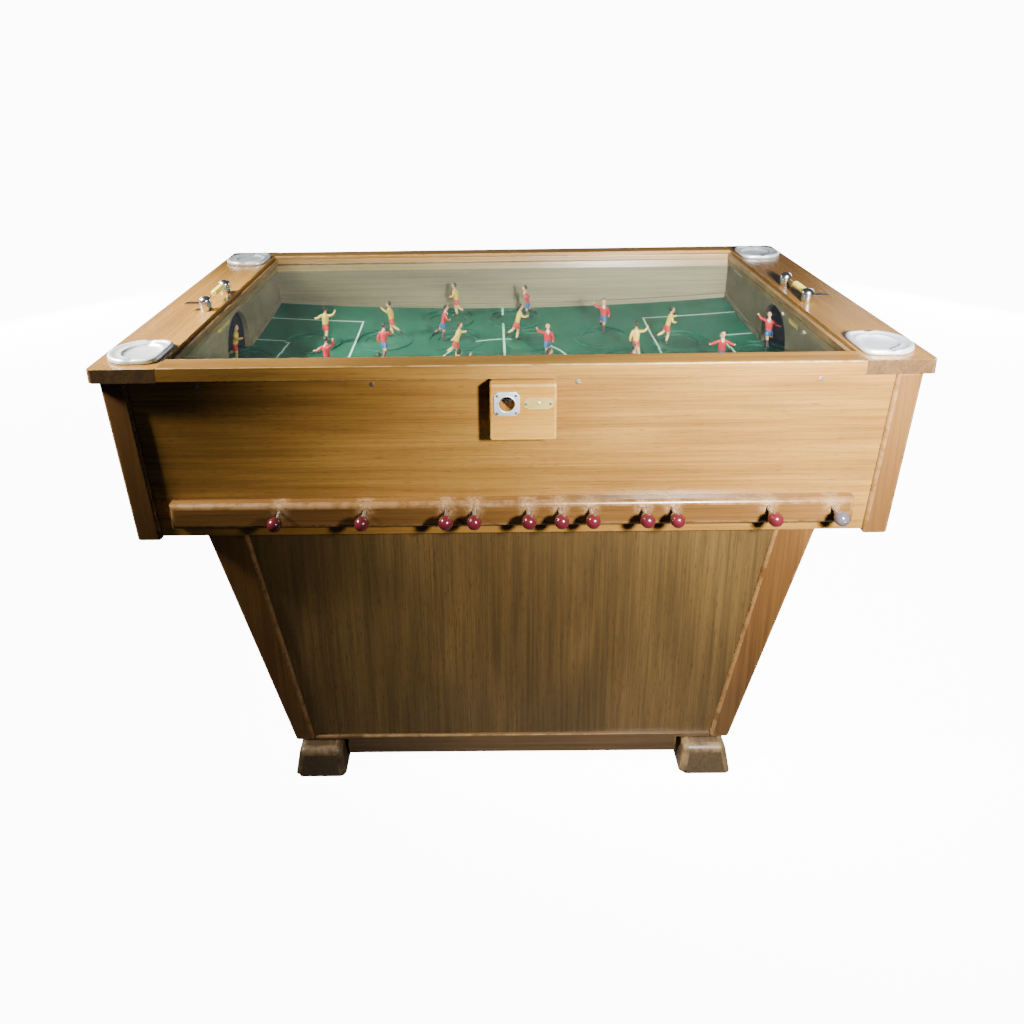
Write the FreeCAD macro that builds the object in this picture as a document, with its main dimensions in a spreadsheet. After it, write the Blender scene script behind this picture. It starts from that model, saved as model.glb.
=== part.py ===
"""Table football game of the café kind: a glazed, tapered cabinet on a tapered pedestal.

Each of the 22 footballers stands on its own turning disc in a dished pitch and is worked
by its own knob through a horizontal shaft and a pair of mitre gears.
Millimetres. X runs goal to goal, Y from the red side (front, -Y) to the yellow side, +Z is up.
The origin is on the floor under the centre of the table.
"""
import FreeCAD, Part
import math
import os
import re
from FreeCAD import Placement, Rotation, Vector

doc = FreeCAD.newDocument("table_football")
sheet = doc.addObject("Spreadsheet::Sheet", "Sizes")
X_AXIS, Y_AXIS, Z_AXIS = Vector(1, 0, 0), Vector(0, 1, 0), Vector(0, 0, 1)
ORIGIN = Vector(0, 0, 0)

# ---------------------------------------------------------------- driving sizes
SIZES = [
    # overall
    ("table_length", 1450), ("table_depth", 810), ("table_height", 890),
    # top frame: end boards, side rails, glass and its beads
    ("board_thick", 26), ("end_board_width", 120), ("side_rail_width", 45),
    ("glass_thick", 5), ("glass_gap", 0.5), ("bead_width", 9), ("bead_height", 14),
    # upper case
    ("case_height", 313), ("post_overhang", 15.5), ("case_taper", 21),
    ("post_width", 45), ("post_depth", 42), ("post_setback", 8), ("panel_setback", 15),
    ("panel_thick", 14), ("end_panel_setback", 7), ("post_drop", 7), ("floor_thick", 12),
    ("floor_raise", 6),
    # knob rail on the front and back panels
    ("knob_rail_overlap", 17), ("knob_rail_height", 50), ("knob_rail_depth", 22),
    ("knob_rail_raise", 26),
    # pedestal
    ("foot_height", 57), ("foot_width", 103), ("foot_out", 440), ("foot_proud", 11),
    ("pedestal_top_half", 566), ("pedestal_foot_half", 441), ("pedestal_inner_top", 490),
    ("pedestal_inner_foot", 402), ("pedestal_setback", 22), ("pedestal_post_depth", 40),
    ("pedestal_panel_setback", 6), ("pedestal_panel_thick", 12), ("pedestal_end_setback", 6),
    ("bottom_rail_height", 46), ("bottom_rail_drop", 35), ("bottom_rail_depth", 28),
    ("end_rail_height", 44),
    # playing bowl
    ("wall_inset_x", 7), ("wall_inset_y", 8), ("wall_thick", 12), ("wall_depth", 166),
    ("pitch_drop", 170), ("pitch_rise_x", 22), ("pitch_rise_y", 18), ("pitch_thick", 12),
    ("skirting_thick", 4), ("skirting_height", 12),
    ("goal_half_width", 72), ("goal_top_drop", 40), ("goal_depth", 50),
    # ball hole
    ("ball_hole_radius", 13.5), ("ball_hole_x", -6), ("ball_hole_drop", 63),
    ("ball_block_width", 114), ("ball_block_height", 105), ("ball_block_depth", 35),
    ("ball_block_x", 22), ("ball_block_gap", 2),
    ("escutcheon_width", 44), ("escutcheon_thick", 2), ("escutcheon_cut", 7),
    ("label_width", 52), ("label_height", 20), ("label_thick", 1), ("label_x", 48),
    ("screw_head_radius", 4), ("screw_head_height", 1.2), ("small_screw_radius", 2.4),
    # ashtrays
    ("ashtray_width", 102), ("ashtray_height", 10), ("ashtray_bowl_radius", 37),
    ("ashtray_bowl_depth", 7.5), ("ashtray_inset_x", 63), ("ashtray_front_y", -335),
    ("ashtray_back_y", 315),
    # scorers: two posts, a wire and sliding beads on each end board
    ("scorer_inset", 97), ("scorer_near_y", -88), ("scorer_far_y", 34), ("scorer_radius", 12),
    ("scorer_height", 30), ("wire_radius", 1.5), ("wire_height", 20),
    ("tally_radius", 7), ("tally_thick", 9), ("tally_bore", 2.0), ("tally_gap", 0.4),
    ("stop_length", 34), ("stop_width", 14), ("stop_thick", 2),
    # players and their drives
    ("disc_radius", 46.6), ("disc_thick", 6), ("disc_gap", 0.6), ("disc_sink", 1.5),
    ("dish_radius", 67), ("orbit_radius", 33), ("spindle_radius", 4), ("shaft_radius", 3.5),
    ("shaft_raise", 61), ("running_fit", 0.08), ("wood_clearance", 0.5),
    ("gear_radius", 14), ("gear_face", 7), ("gear_hub_radius", 8), ("gear_hub_length", 8),
    ("knob_radius", 13), ("knob_length", 24), ("knob_neck_radius", 6.5), ("knob_reach", 60),
    ("bracket_width", 22), ("bracket_base", 5), ("bracket_plate", 6), ("bracket_back", 34),
    ("footstep_radius", 9), ("footstep_height", 20), ("footstep_depth", 10),
]
for row, (alias, value) in enumerate(SIZES, start=1):
    sheet.set(f"A{row}", alias)
    sheet.set(f"B{row}", str(value))
    sheet.setAlias(f"B{row}", alias)
doc.recompute()


def size(alias):
    """One value of the sheet, for shapes that are worked out in code."""
    return float(sheet.get(alias))


def cells(text):
    """An expression in which every name of the sheet is read from the sheet."""
    return re.sub(r"[a-z][a-z_]*", read_from_sheet, text)


def read_from_sheet(match):
    """The cell's full name, or the sizes that a worked-out name stands for."""
    word = match.group(0)
    if word in WORKED_OUT:
        return "( " + cells(WORKED_OUT[word]) + " )"
    return "Sizes." + word if word in ALIASES else word


ALIASES = {alias for alias, value in SIZES}

# ---------------------------------------------------------------- worked-out sizes
BOARD_UNDER = "table_height - board_thick"
CASE_FOOT = "table_height - board_thick - case_height"
GLASS_UNDER = BOARD_UNDER
PANEL_FACE = "table_depth / 2 - panel_setback"
# names that the expressions use for sizes that follow from the sheet
WORKED_OUT = {
    "wall_half_x": "table_length / 2 - end_board_width - wall_inset_x",
    "wall_half_y": "table_depth / 2 - side_rail_width - wall_inset_y",
    "pitch_low": "table_height - pitch_drop",
    "shaft_height": CASE_FOOT + " + shaft_raise",
    "scorer_x": "table_length / 2 - scorer_inset",
    "knob_rail_length": "2 * ( wall_half_x + knob_rail_overlap )",
}
# the same sizes as numbers, for shapes that are worked out in code
WALL_X = size("table_length") / 2 - size("end_board_width") - size("wall_inset_x")
WALL_Y = size("table_depth") / 2 - size("side_rail_width") - size("wall_inset_y")
LOW = size("table_height") - size("pitch_drop")
FOOT_OF_CASE = size("table_height") - size("board_thick") - size("case_height")
SHAFT_Z = FOOT_OF_CASE + size("shaft_raise")
BRACKET_FLOOR = FOOT_OF_CASE + size("floor_raise") + size("floor_thick")

# Players: disc centre (x, y) of the red team and, at rest, the direction from the disc's
# centre to the standing foot and the direction that the player faces (degrees from +X).
# The yellow team's discs are the same pattern turned half round. The pattern is drawn for
# the usual pitch and stretched to the pitch that the sheet asks for.
USUAL_HALF_X, USUAL_HALF_Y = 598, 352
USUAL_DISCS = [
    (575, 0), (460, -115), (290, -140), (238, 145), (143, -278), (88, -8),
    (31, 278), (-65, -145), (-115, 145), (-262, -8), (-415, -95),
]
RED_DISCS = [(x * WALL_X / USUAL_HALF_X, y * WALL_Y / USUAL_HALF_Y) for x, y in USUAL_DISCS]
RED_REST = [
    (47, 235), (90, 265), (180, 10), (75, 262), (200, 80), (75, 275),
    (0, 190), (180, 95), (175, 10), (115, 80), (20, 95),
]
YELLOW_REST = [
    (220, 0), (0, 80), (65, 170), (225, 60), (50, 165), (135, 5),
    (240, 100), (180, 20), (180, 10), (0, 85), (195, 5),
]


def pitch_height(x, y):
    """Height of the dished playing surface at a place on the pitch."""
    rise_x = size("pitch_rise_x") * (x / WALL_X) ** 2
    rise_y = size("pitch_rise_y") * (y / WALL_Y) ** 2
    return LOW + rise_x + rise_y


# ---------------------------------------------------------------- building helpers
def bind(thing, **formulas):
    """Ties properties of an object to the sheet; underscores stand for dots."""
    for path, formula in formulas.items():
        thing.setExpression(path.replace("_", ".") if path.startswith("Placement") else path,
                            cells(formula))
    return thing


def block(name, x, y, z, dx, dy, dz):
    """A plain board: low corner and lengths, each an expression."""
    box = doc.addObject("Part::Box", name)
    bind(box, Length=dx, Width=dy, Height=dz)
    bind(box, Placement_Base_x=x, Placement_Base_y=y, Placement_Base_z=z)
    return box


def tapered(name, foot_low, foot_high, top_low, top_high, z, height, y, thick):
    """A board whose X limits change from foot to top; it runs from y to y + thick."""
    wedge = doc.addObject("Part::Wedge", name)
    bind(wedge, Xmin=foot_low, Xmax=foot_high, X2min=top_low, X2max=top_high)
    bind(wedge, Ymin="0", Ymax=height, Zmin="0", Zmax=thick, Z2min="0", Z2max=thick)
    wedge.Placement = Placement(ORIGIN, Rotation(X_AXIS, 90))
    bind(wedge, Placement_Base_y=f"{y} + {thick}", Placement_Base_z=z)
    return wedge


def rod(name, x, y, z, radius, length, axis=Z_AXIS):
    """A round bar that starts at (x, y, z) and runs along axis."""
    bar = doc.addObject("Part::Cylinder", name)
    bind(bar, Radius=radius, Height=length)
    bar.Placement = Placement(ORIGIN, Rotation(Z_AXIS, axis))
    bind(bar, Placement_Base_x=x, Placement_Base_y=y, Placement_Base_z=z)
    return bar


def cut(name, base, tools):
    """Base with every tool taken out of it."""
    if len(tools) == 1:
        tool = tools[0]
    else:
        tool = doc.addObject("Part::MultiFuse", name + "_tools")
        tool.Shapes = tools
    result = doc.addObject("Part::Cut", name)
    result.Base = base
    result.Tool = tool
    return result


def join(name, pieces):
    """Pieces made as one solid."""
    result = doc.addObject("Part::MultiFuse", name)
    result.Shapes = pieces
    result.Refine = True
    return result


def half_turn(name, piece):
    """The same piece on the other side of the table, turned half round the table's centre."""
    copy = doc.addObject("Part::Feature", name)
    copy.Shape = piece.Shape.copy()
    copy.Placement = Placement(ORIGIN, Rotation(Z_AXIS, 180)).multiply(piece.Placement)
    return copy


def mirrored(name, piece, normal):
    """The same piece on the other side of the table, mirrored in a plane through its centre."""
    copy = doc.addObject("Part::Mirroring", name)
    copy.Source = piece
    copy.Base = ORIGIN
    copy.Normal = normal
    return copy


NODES = []


def node(name, pieces):
    """One named sub-part, made of one or more separate solids."""
    group = doc.addObject("Part::Compound", name)
    group.Links = pieces
    group.Label = name
    NODES.append(group)
    return group


def at(shape_owner, name, placement):
    """A copy of a shape put at a placement."""
    copy = doc.addObject("Part::Feature", name)
    copy.Shape = shape_owner.Shape.copy()
    copy.Placement = placement.multiply(shape_owner.Placement)
    return copy


# ---------------------------------------------------------------- top frame and glass
board = block("end_board_right", "table_length / 2 - end_board_width", "-table_depth / 2",
              BOARD_UNDER, "end_board_width", "table_depth", "board_thick")
rail = block("side_rail_front", "end_board_width - table_length / 2", "-table_depth / 2",
             BOARD_UNDER, "table_length - 2 * end_board_width", "side_rail_width", "board_thick")
long_bead = block("bead_front", "end_board_width - table_length / 2",
                  "side_rail_width - table_depth / 2", GLASS_UNDER + " + glass_thick",
                  "table_length - 2 * end_board_width", "bead_width", "bead_height")
short_bead = block("bead_right", "table_length / 2 - end_board_width - bead_width",
                   "side_rail_width + bead_width - table_depth / 2",
                   GLASS_UNDER + " + glass_thick", "bead_width",
                   "table_depth - 2 * side_rail_width - 2 * bead_width", "bead_height")
node("top_frame", [
    board, mirrored("end_board_left", board, X_AXIS),
    rail, mirrored("side_rail_back", rail, Y_AXIS),
    long_bead, mirrored("bead_back", long_bead, Y_AXIS),
    short_bead, mirrored("bead_left", short_bead, X_AXIS),
])
node("glass_pane", [block(
    "glass_sheet", "end_board_width + glass_gap - table_length / 2",
    "side_rail_width + glass_gap - table_depth / 2", GLASS_UNDER,
    "table_length - 2 * end_board_width - 2 * glass_gap",
    "table_depth - 2 * side_rail_width - 2 * glass_gap", "glass_thick")])

# ---------------------------------------------------------------- upper case
OUTER_TOP = "table_length / 2 - post_overhang"
OUTER_FOOT = "table_length / 2 - post_overhang - case_taper"
# the post runs post_drop below the case on the same slope
DROP_SHIFT = "case_taper * post_drop / case_height"
post = tapered(
    "upper_post", f"{OUTER_FOOT} - {DROP_SHIFT} - post_width", f"{OUTER_FOOT} - {DROP_SHIFT}",
    f"{OUTER_TOP} - post_width", OUTER_TOP, f"{CASE_FOOT} - post_drop",
    "case_height + post_drop", "post_setback - table_depth / 2", "post_depth")
post_left = mirrored("upper_post_left", post, X_AXIS)
upper_posts = [post, post_left, mirrored("upper_post_back_right", post, Y_AXIS),
               mirrored("upper_post_back_left", post_left, Y_AXIS)]

INNER_TOP = f"{OUTER_TOP} - post_width"
INNER_FOOT = f"{OUTER_FOOT} - post_width"
side_panel = tapered(
    "side_panel", f"-( {INNER_FOOT} )", INNER_FOOT, f"-( {INNER_TOP} )", INNER_TOP,
    CASE_FOOT, "case_height", f"-( {PANEL_FACE} )", "panel_thick")
end_panel = tapered(
    "end_panel", f"{OUTER_FOOT} - end_panel_setback - panel_thick",
    f"{OUTER_FOOT} - end_panel_setback", f"{OUTER_TOP} - end_panel_setback - panel_thick",
    f"{OUTER_TOP} - end_panel_setback", CASE_FOOT, "case_height",
    "post_setback + post_depth - table_depth / 2",
    "table_depth - 2 * post_setback - 2 * post_depth")
floor_long = block(
    "floor_long", f"-( {OUTER_FOOT} - panel_thick - end_panel_setback )",
    "post_setback + post_depth - table_depth / 2", f"{CASE_FOOT} + floor_raise",
    f"2 * ( {OUTER_FOOT} - panel_thick - end_panel_setback )",
    "table_depth - 2 * post_setback - 2 * post_depth", "floor_thick")
floor_wide = block(
    "floor_wide", f"-( {INNER_FOOT} )", "panel_setback + panel_thick - table_depth / 2",
    f"{CASE_FOOT} + floor_raise", f"2 * ( {INNER_FOOT} )",
    "table_depth - 2 * panel_setback - 2 * panel_thick", "floor_thick")
case_floor = join("case_floor", [floor_long, floor_wide])


def shaft_holes(side, depth_from, depth):
    """Clearance holes for one side's shafts, through the wood between two depths."""
    holes = []
    for number, (x, y) in enumerate(RED_DISCS, start=1):
        holes.append(rod(f"{side}_hole_{number}", f"{x}", depth_from, "shaft_height",
                         "shaft_radius + wood_clearance", depth, Y_AXIS))
    return holes


panel_cutters = shaft_holes("panel", f"-( {PANEL_FACE} ) - 1", "panel_thick + 2")
drilled_panel = cut("drilled_panel", side_panel, panel_cutters)
ball_bore_panel = rod("ball_bore_panel", "ball_hole_x", f"-( {PANEL_FACE} ) - 1",
                      "table_height - ball_hole_drop", "ball_hole_radius", "panel_thick + 2",
                      Y_AXIS)
front_panel = cut("front_panel", drilled_panel, [ball_bore_panel])
doc.recompute()
back_panel = half_turn("back_panel", drilled_panel)
node("upper_panels", [front_panel, back_panel, end_panel,
                      mirrored("end_panel_left", end_panel, X_AXIS), case_floor])

knob_board = block(
    "knob_board", "-knob_rail_length / 2", f"-( {PANEL_FACE} ) - knob_rail_depth",
    f"{CASE_FOOT} + knob_rail_raise", "knob_rail_length", "knob_rail_depth", "knob_rail_height")
rail_cutters = shaft_holes("rail", f"-( {PANEL_FACE} ) - knob_rail_depth - 1",
                           "knob_rail_depth + 2")
front_knob_rail = cut("front_knob_rail", knob_board, rail_cutters)
doc.recompute()
node("knob_rails", [front_knob_rail, half_turn("back_knob_rail", front_knob_rail)])

# ---------------------------------------------------------------- pedestal
PEDESTAL_HEIGHT = f"{CASE_FOOT} - foot_height"
PEDESTAL_FACE = "table_depth / 2 - pedestal_setback"
leg = tapered(
    "pedestal_post", "pedestal_inner_foot", "pedestal_foot_half", "pedestal_inner_top",
    "pedestal_top_half", "foot_height", PEDESTAL_HEIGHT, f"-( {PEDESTAL_FACE} )",
    "pedestal_post_depth")
leg_left = mirrored("pedestal_post_left", leg, X_AXIS)
pedestal_posts = [leg, leg_left, mirrored("pedestal_post_back_right", leg, Y_AXIS),
                  mirrored("pedestal_post_back_left", leg_left, Y_AXIS)]
rail_upper = block(
    "rail_upper", "-pedestal_inner_foot", f"-( {PEDESTAL_FACE} )", "foot_height",
    "2 * pedestal_inner_foot", "bottom_rail_depth", "bottom_rail_height - bottom_rail_drop")
rail_lower = block(
    "rail_lower", "foot_width - foot_out + 1", f"-( {PEDESTAL_FACE} )",
    "foot_height - bottom_rail_drop", "2 * ( foot_out - foot_width - 1 )",
    "bottom_rail_depth", "bottom_rail_drop")
bottom_rail = join("bottom_rail_front", [rail_upper, rail_lower])
SLOPE = "( pedestal_top_half - pedestal_foot_half ) / ( " + PEDESTAL_HEIGHT + " )"
end_rail = tapered(
    "bottom_rail_right", "pedestal_foot_half - pedestal_post_depth", "pedestal_foot_half",
    f"pedestal_foot_half - pedestal_post_depth + end_rail_height * {SLOPE}",
    f"pedestal_foot_half + end_rail_height * {SLOPE}", "foot_height", "end_rail_height",
    f"pedestal_post_depth - ( {PEDESTAL_FACE} )",
    f"2 * ( {PEDESTAL_FACE} - pedestal_post_depth )")
node("case_frame", upper_posts + pedestal_posts + [
    bottom_rail, mirrored("bottom_rail_back", bottom_rail, Y_AXIS),
    end_rail, mirrored("bottom_rail_left", end_rail, X_AXIS)])

PANEL_LIFT = "bottom_rail_height - bottom_rail_drop"
INNER_SLOPE = ("( pedestal_inner_top - pedestal_inner_foot ) / ( " + PEDESTAL_HEIGHT + " )")
pedestal_panel = tapered(
    "pedestal_panel", f"-( pedestal_inner_foot + ( {PANEL_LIFT} ) * {INNER_SLOPE} )",
    f"pedestal_inner_foot + ( {PANEL_LIFT} ) * {INNER_SLOPE}", "-pedestal_inner_top",
    "pedestal_inner_top", f"foot_height + {PANEL_LIFT}", f"{PEDESTAL_HEIGHT} - ( {PANEL_LIFT} )",
    f"pedestal_panel_setback - ( {PEDESTAL_FACE} )", "pedestal_panel_thick")
end_skin = tapered(
    "pedestal_end", f"pedestal_foot_half + end_rail_height * {SLOPE} - pedestal_end_setback"
    " - pedestal_panel_thick",
    f"pedestal_foot_half + end_rail_height * {SLOPE} - pedestal_end_setback",
    "pedestal_top_half - pedestal_end_setback - pedestal_panel_thick",
    "pedestal_top_half - pedestal_end_setback", "foot_height + end_rail_height",
    f"{PEDESTAL_HEIGHT} - end_rail_height", f"pedestal_post_depth - ( {PEDESTAL_FACE} )",
    f"2 * ( {PEDESTAL_FACE} - pedestal_post_depth )")
node("pedestal_panels", [pedestal_panel, mirrored("pedestal_panel_back", pedestal_panel, Y_AXIS),
                         end_skin, mirrored("pedestal_end_left", end_skin, X_AXIS)])
foot = block("foot_right", "foot_out - foot_width", "-( table_depth / 2 ) - foot_proud", "0",
             "foot_width", "table_depth + 2 * foot_proud", "foot_height")
node("foot_runners", [foot, mirrored("foot_left", foot, X_AXIS)])

# ---------------------------------------------------------------- dished pitch
GOAL_FLOOR_LAP = 30


def bowl(name, offset):
    """The big ring whose underside is the pitch's double curve, moved down by offset."""
    ring = doc.addObject("Part::Torus", name)
    bind(ring, Radius1="wall_half_x ^ 2 / ( 2 * pitch_rise_x )"
         " - wall_half_y ^ 2 / ( 2 * pitch_rise_y )",
         Radius2=f"wall_half_y ^ 2 / ( 2 * pitch_rise_y ) + {offset}")
    ring.Placement = Placement(ORIGIN, Rotation(X_AXIS, 90))
    bind(ring, Placement_Base_z="pitch_low + wall_half_x ^ 2 / ( 2 * pitch_rise_x )")
    return ring


def common(name, first, second):
    """What two solids share."""
    result = doc.addObject("Part::Common", name)
    result.Base = first
    result.Tool = second
    return result


surface = bowl("bowl_surface", "0")
pitch_slab = block("pitch_slab", "-wall_half_x", "-wall_half_y", "pitch_low - pitch_thick - 1",
                   "2 * wall_half_x", "2 * wall_half_y",
                   "pitch_thick + pitch_rise_x + pitch_rise_y + 2")
pitch_skin = cut("pitch_skin", common("pitch_under", pitch_slab, bowl("bowl_under",
                 "pitch_thick")), [surface])
goal_floor = block("goal_floor", f"wall_half_x - {GOAL_FLOOR_LAP}", "1 - goal_half_width",
                   "pitch_low + pitch_rise_x - pitch_thick", f"goal_depth + {GOAL_FLOOR_LAP}",
                   "2 * goal_half_width - 2", "pitch_thick")
goal_floor_left = mirrored("goal_floor_left", goal_floor, X_AXIS)
doc.recompute()

# every dish is a flat ring let into the slope, round the hole that its disc turns in
DISH_HEIGHT = 60
dishes, openings = [], []
pitch_solid = pitch_skin.Shape.fuse([goal_floor.Shape, goal_floor_left.Shape])
for x, y in RED_DISCS + [(-x, -y) for x, y in RED_DISCS]:
    level = pitch_height(x, y)
    centre = Vector(x, y, level)
    dishes.append(Part.makeCylinder(size("dish_radius"), size("pitch_thick"),
                                    centre - Vector(0, 0, size("pitch_thick"))))
    openings.append(Part.makeCylinder(size("dish_radius"), DISH_HEIGHT, centre))
    openings.append(Part.makeCylinder(size("disc_radius") + size("disc_gap"), DISH_HEIGHT,
                                      centre - Vector(0, 0, DISH_HEIGHT / 2)))
ROOM_HEIGHT = 100
inside = Part.makeBox(2 * WALL_X, 2 * WALL_Y, ROOM_HEIGHT,
                      Vector(-WALL_X, -WALL_Y, LOW - ROOM_HEIGHT / 2))
goal_end = WALL_X + size("goal_depth")
goal_room = Part.makeBox(2 * goal_end, 2 * size("goal_half_width") - 2, ROOM_HEIGHT,
                         Vector(-goal_end, 1 - size("goal_half_width"), LOW - ROOM_HEIGHT / 2))
pitch = doc.addObject("Part::Feature", "pitch")
pitch.Shape = pitch_solid.fuse(dishes).common(inside.fuse(goal_room)).cut(openings)
node("pitch_board", [pitch])

# ---------------------------------------------------------------- walls round the pitch
WALL_FOOT = GLASS_UNDER + " - wall_depth"
long_wall = block("long_wall", "-wall_half_x - wall_thick", "-wall_half_y - wall_thick",
                  WALL_FOOT, "2 * wall_half_x + 2 * wall_thick", "wall_thick", "wall_depth")
short_wall = block("short_wall", "wall_half_x", "-wall_half_y", WALL_FOOT, "wall_thick",
                   "2 * wall_half_y", "wall_depth")
ball_bore_wall = rod("ball_bore_wall", "ball_hole_x", "-wall_half_y - wall_thick - 1",
                     "table_height - ball_hole_drop", "ball_hole_radius", "wall_thick + 2",
                     Y_AXIS)
front_wall = cut("front_wall", long_wall, [ball_bore_wall])
ARCH_SPRING = "table_height - goal_top_drop - goal_half_width"
arch_round = rod("arch_round", "wall_half_x - 1", "0", ARCH_SPRING, "goal_half_width",
                 "wall_thick + 2", X_AXIS)
arch_square = block("arch_square", "wall_half_x - 1", "-goal_half_width",
                    f"{WALL_FOOT} - 1", "wall_thick + 2", "2 * goal_half_width",
                    f"{ARCH_SPRING} - ( {WALL_FOOT} ) + 1")
goal_wall = cut("goal_wall", short_wall, [arch_round, arch_square])


def skirting(name, x, y, dx, dy):
    """A strip at the foot of a wall that follows the pitch's curve."""
    strip = block(name + "_strip", x, y, "pitch_low - 5", dx, dy,
                  "pitch_rise_x + pitch_rise_y + skirting_height + 10")
    return cut(name, common(name + "_over", strip, bowl(name + "_foot", "0")),
               [bowl(name + "_top", "-skirting_height")])


long_skirting = skirting("skirting_front", "-wall_half_x", "-wall_half_y",
                         "2 * wall_half_x", "skirting_thick")
short_skirting = skirting("skirting_right", "wall_half_x - skirting_thick",
                          "goal_half_width + 3", "skirting_thick",
                          "wall_half_y - skirting_thick - goal_half_width - 3")
short_left = mirrored("skirting_left", short_skirting, X_AXIS)
node("inner_walls", [
    front_wall, mirrored("back_wall", long_wall, Y_AXIS),
    goal_wall, mirrored("goal_wall_left", goal_wall, X_AXIS),
    long_skirting, mirrored("skirting_back", long_skirting, Y_AXIS),
    short_skirting, mirrored("skirting_right_front", short_skirting, Y_AXIS),
    short_left, mirrored("skirting_left_front", short_left, Y_AXIS)])

# ---------------------------------------------------------------- ball hole and its plates
block_wood = block(
    "block_wood", "ball_block_x - ball_block_width / 2",
    f"-( {PANEL_FACE} ) - ball_block_depth",
    f"{BOARD_UNDER} - ball_block_gap - ball_block_height", "ball_block_width",
    "ball_block_depth", "ball_block_height")
ball_bore_block = rod("ball_bore_block", "ball_hole_x",
                      f"-( {PANEL_FACE} ) - ball_block_depth - 1",
                      "table_height - ball_hole_drop", "ball_hole_radius",
                      "ball_block_depth + 2", Y_AXIS)
node("ball_block", [cut("bored_block", block_wood, [ball_bore_block])])

BLOCK_FACE = size("table_depth") / 2 - size("panel_setback") + size("ball_block_depth")
HOLE_Z = size("table_height") - size("ball_hole_drop")


def escutcheon():
    """Square plate with cut corners round the ball hole, standing on the block's face."""
    half = size("escutcheon_width") / 2
    corner = half - size("escutcheon_cut")
    outline = [(-half, -corner), (-corner, -half), (corner, -half), (half, -corner),
               (half, corner), (corner, half), (-corner, half), (-half, corner)]
    points = [Vector(size("ball_hole_x") + x, -BLOCK_FACE, HOLE_Z + z) for x, z in outline]
    plate = Part.Face(Part.makePolygon(points + points[:1]))
    plate = plate.extrude(Vector(0, -size("escutcheon_thick"), 0))
    hole = Part.makeCylinder(size("ball_hole_radius"), size("escutcheon_thick") + 2,
                             Vector(size("ball_hole_x"), 1 - BLOCK_FACE, HOLE_Z), -Y_AXIS)
    return plate.cut(hole)


def screw(x, y, z, radius):
    """A slotted screw head on a face that looks along -Y."""
    head = Part.makeCylinder(radius, size("screw_head_height"), Vector(x, y, z), -Y_AXIS)
    slot = Part.makeBox(2 * radius, size("screw_head_height") / 2, radius / 4,
                        Vector(x - radius, y - size("screw_head_height"), z - radius / 8))
    return head.cut(slot)


PLATE_SCREW_INSET, LABEL_SCREW_INSET, PANEL_SCREW_DROP = 6, 5, 13
screw_pitch = size("escutcheon_width") / 2 - PLATE_SCREW_INSET
label_face = BLOCK_FACE + size("label_thick")
screw_solids = [
    screw(size("ball_hole_x") + sx * screw_pitch, -BLOCK_FACE - size("escutcheon_thick"),
          HOLE_Z + sz * screw_pitch, size("small_screw_radius"))
    for sx in (-1, 1) for sz in (-1, 1)]
screw_solids += [
    screw(size("label_x") + side * (size("label_width") / 2 - LABEL_SCREW_INSET), -label_face,
          HOLE_Z, size("small_screw_radius")) for side in (-1, 1)]
PANEL_SCREWS = (-542, -238, 118, 536)
screw_solids += [
    screw(x, size("panel_setback") - size("table_depth") / 2,
          size("table_height") - size("board_thick") - PANEL_SCREW_DROP,
          size("screw_head_radius"))
    for x in PANEL_SCREWS]
plates = doc.addObject("Part::Feature", "plates_and_screws")
label = Part.makeBox(size("label_width"), size("label_thick"), size("label_height"),
                     Vector(size("label_x") - size("label_width") / 2, -label_face,
                            HOLE_Z - size("label_height") / 2))
plates.Shape = Part.Compound([escutcheon(), label] + screw_solids)
node("metal_plates_and_screws", [plates])

# ---------------------------------------------------------------- ashtrays
HALF = "table_length / 2 - ashtray_inset_x"


def ashtray(name, y):
    """A cast dish: round at the outer end, square at the inner end, with a round bowl."""
    outer = rod(name + "_round", HALF, y, "table_height", "ashtray_width / 2",
                "ashtray_height")
    inner = block(name + "_square", f"{HALF} - ashtray_width / 2", f"{y} - ashtray_width / 2",
                  "table_height", "ashtray_width / 2", "ashtray_width", "ashtray_height")
    hollow = rod(name + "_bowl", HALF, y, "table_height + ashtray_height - ashtray_bowl_depth",
                 "ashtray_bowl_radius", "ashtray_bowl_depth + 1")
    return cut(name, join(name + "_body", [outer, inner]), [hollow])


tray_front = ashtray("ashtray_front_right", "ashtray_front_y")
tray_back = ashtray("ashtray_back_right", "ashtray_back_y")
node("ashtrays", [tray_front, mirrored("ashtray_front_left", tray_front, X_AXIS),
                  tray_back, mirrored("ashtray_back_left", tray_back, X_AXIS)])

# ---------------------------------------------------------------- scorers
near_post = rod("scorer_near", "scorer_x", "scorer_near_y", "table_height", "scorer_radius",
                "scorer_height")
far_post = rod("scorer_far", "scorer_x", "scorer_far_y", "table_height", "scorer_radius",
               "scorer_height")
wire = rod("scorer_wire", "scorer_x", "scorer_near_y", "table_height + wire_height",
           "wire_radius", "scorer_far_y - scorer_near_y", Y_AXIS)
stop = block("scorer_stop", "scorer_x + scorer_radius - 2", "scorer_near_y - stop_width / 2",
             "table_height + scorer_height / 2", "stop_length", "stop_width", "stop_thick")
scorer = join("scorer_right", [near_post, far_post, wire, stop])
node("score_wires", [scorer, mirrored("scorer_left", scorer, X_AXIS)])

BEADS = 6
BEAD_STEP = "( tally_thick + tally_gap )"
BEAD_TRAVEL = ("( scorer_far_y - scorer_near_y - 2 * scorer_radius"
               f" - {BEADS} * {BEAD_STEP} - tally_gap )")


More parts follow.
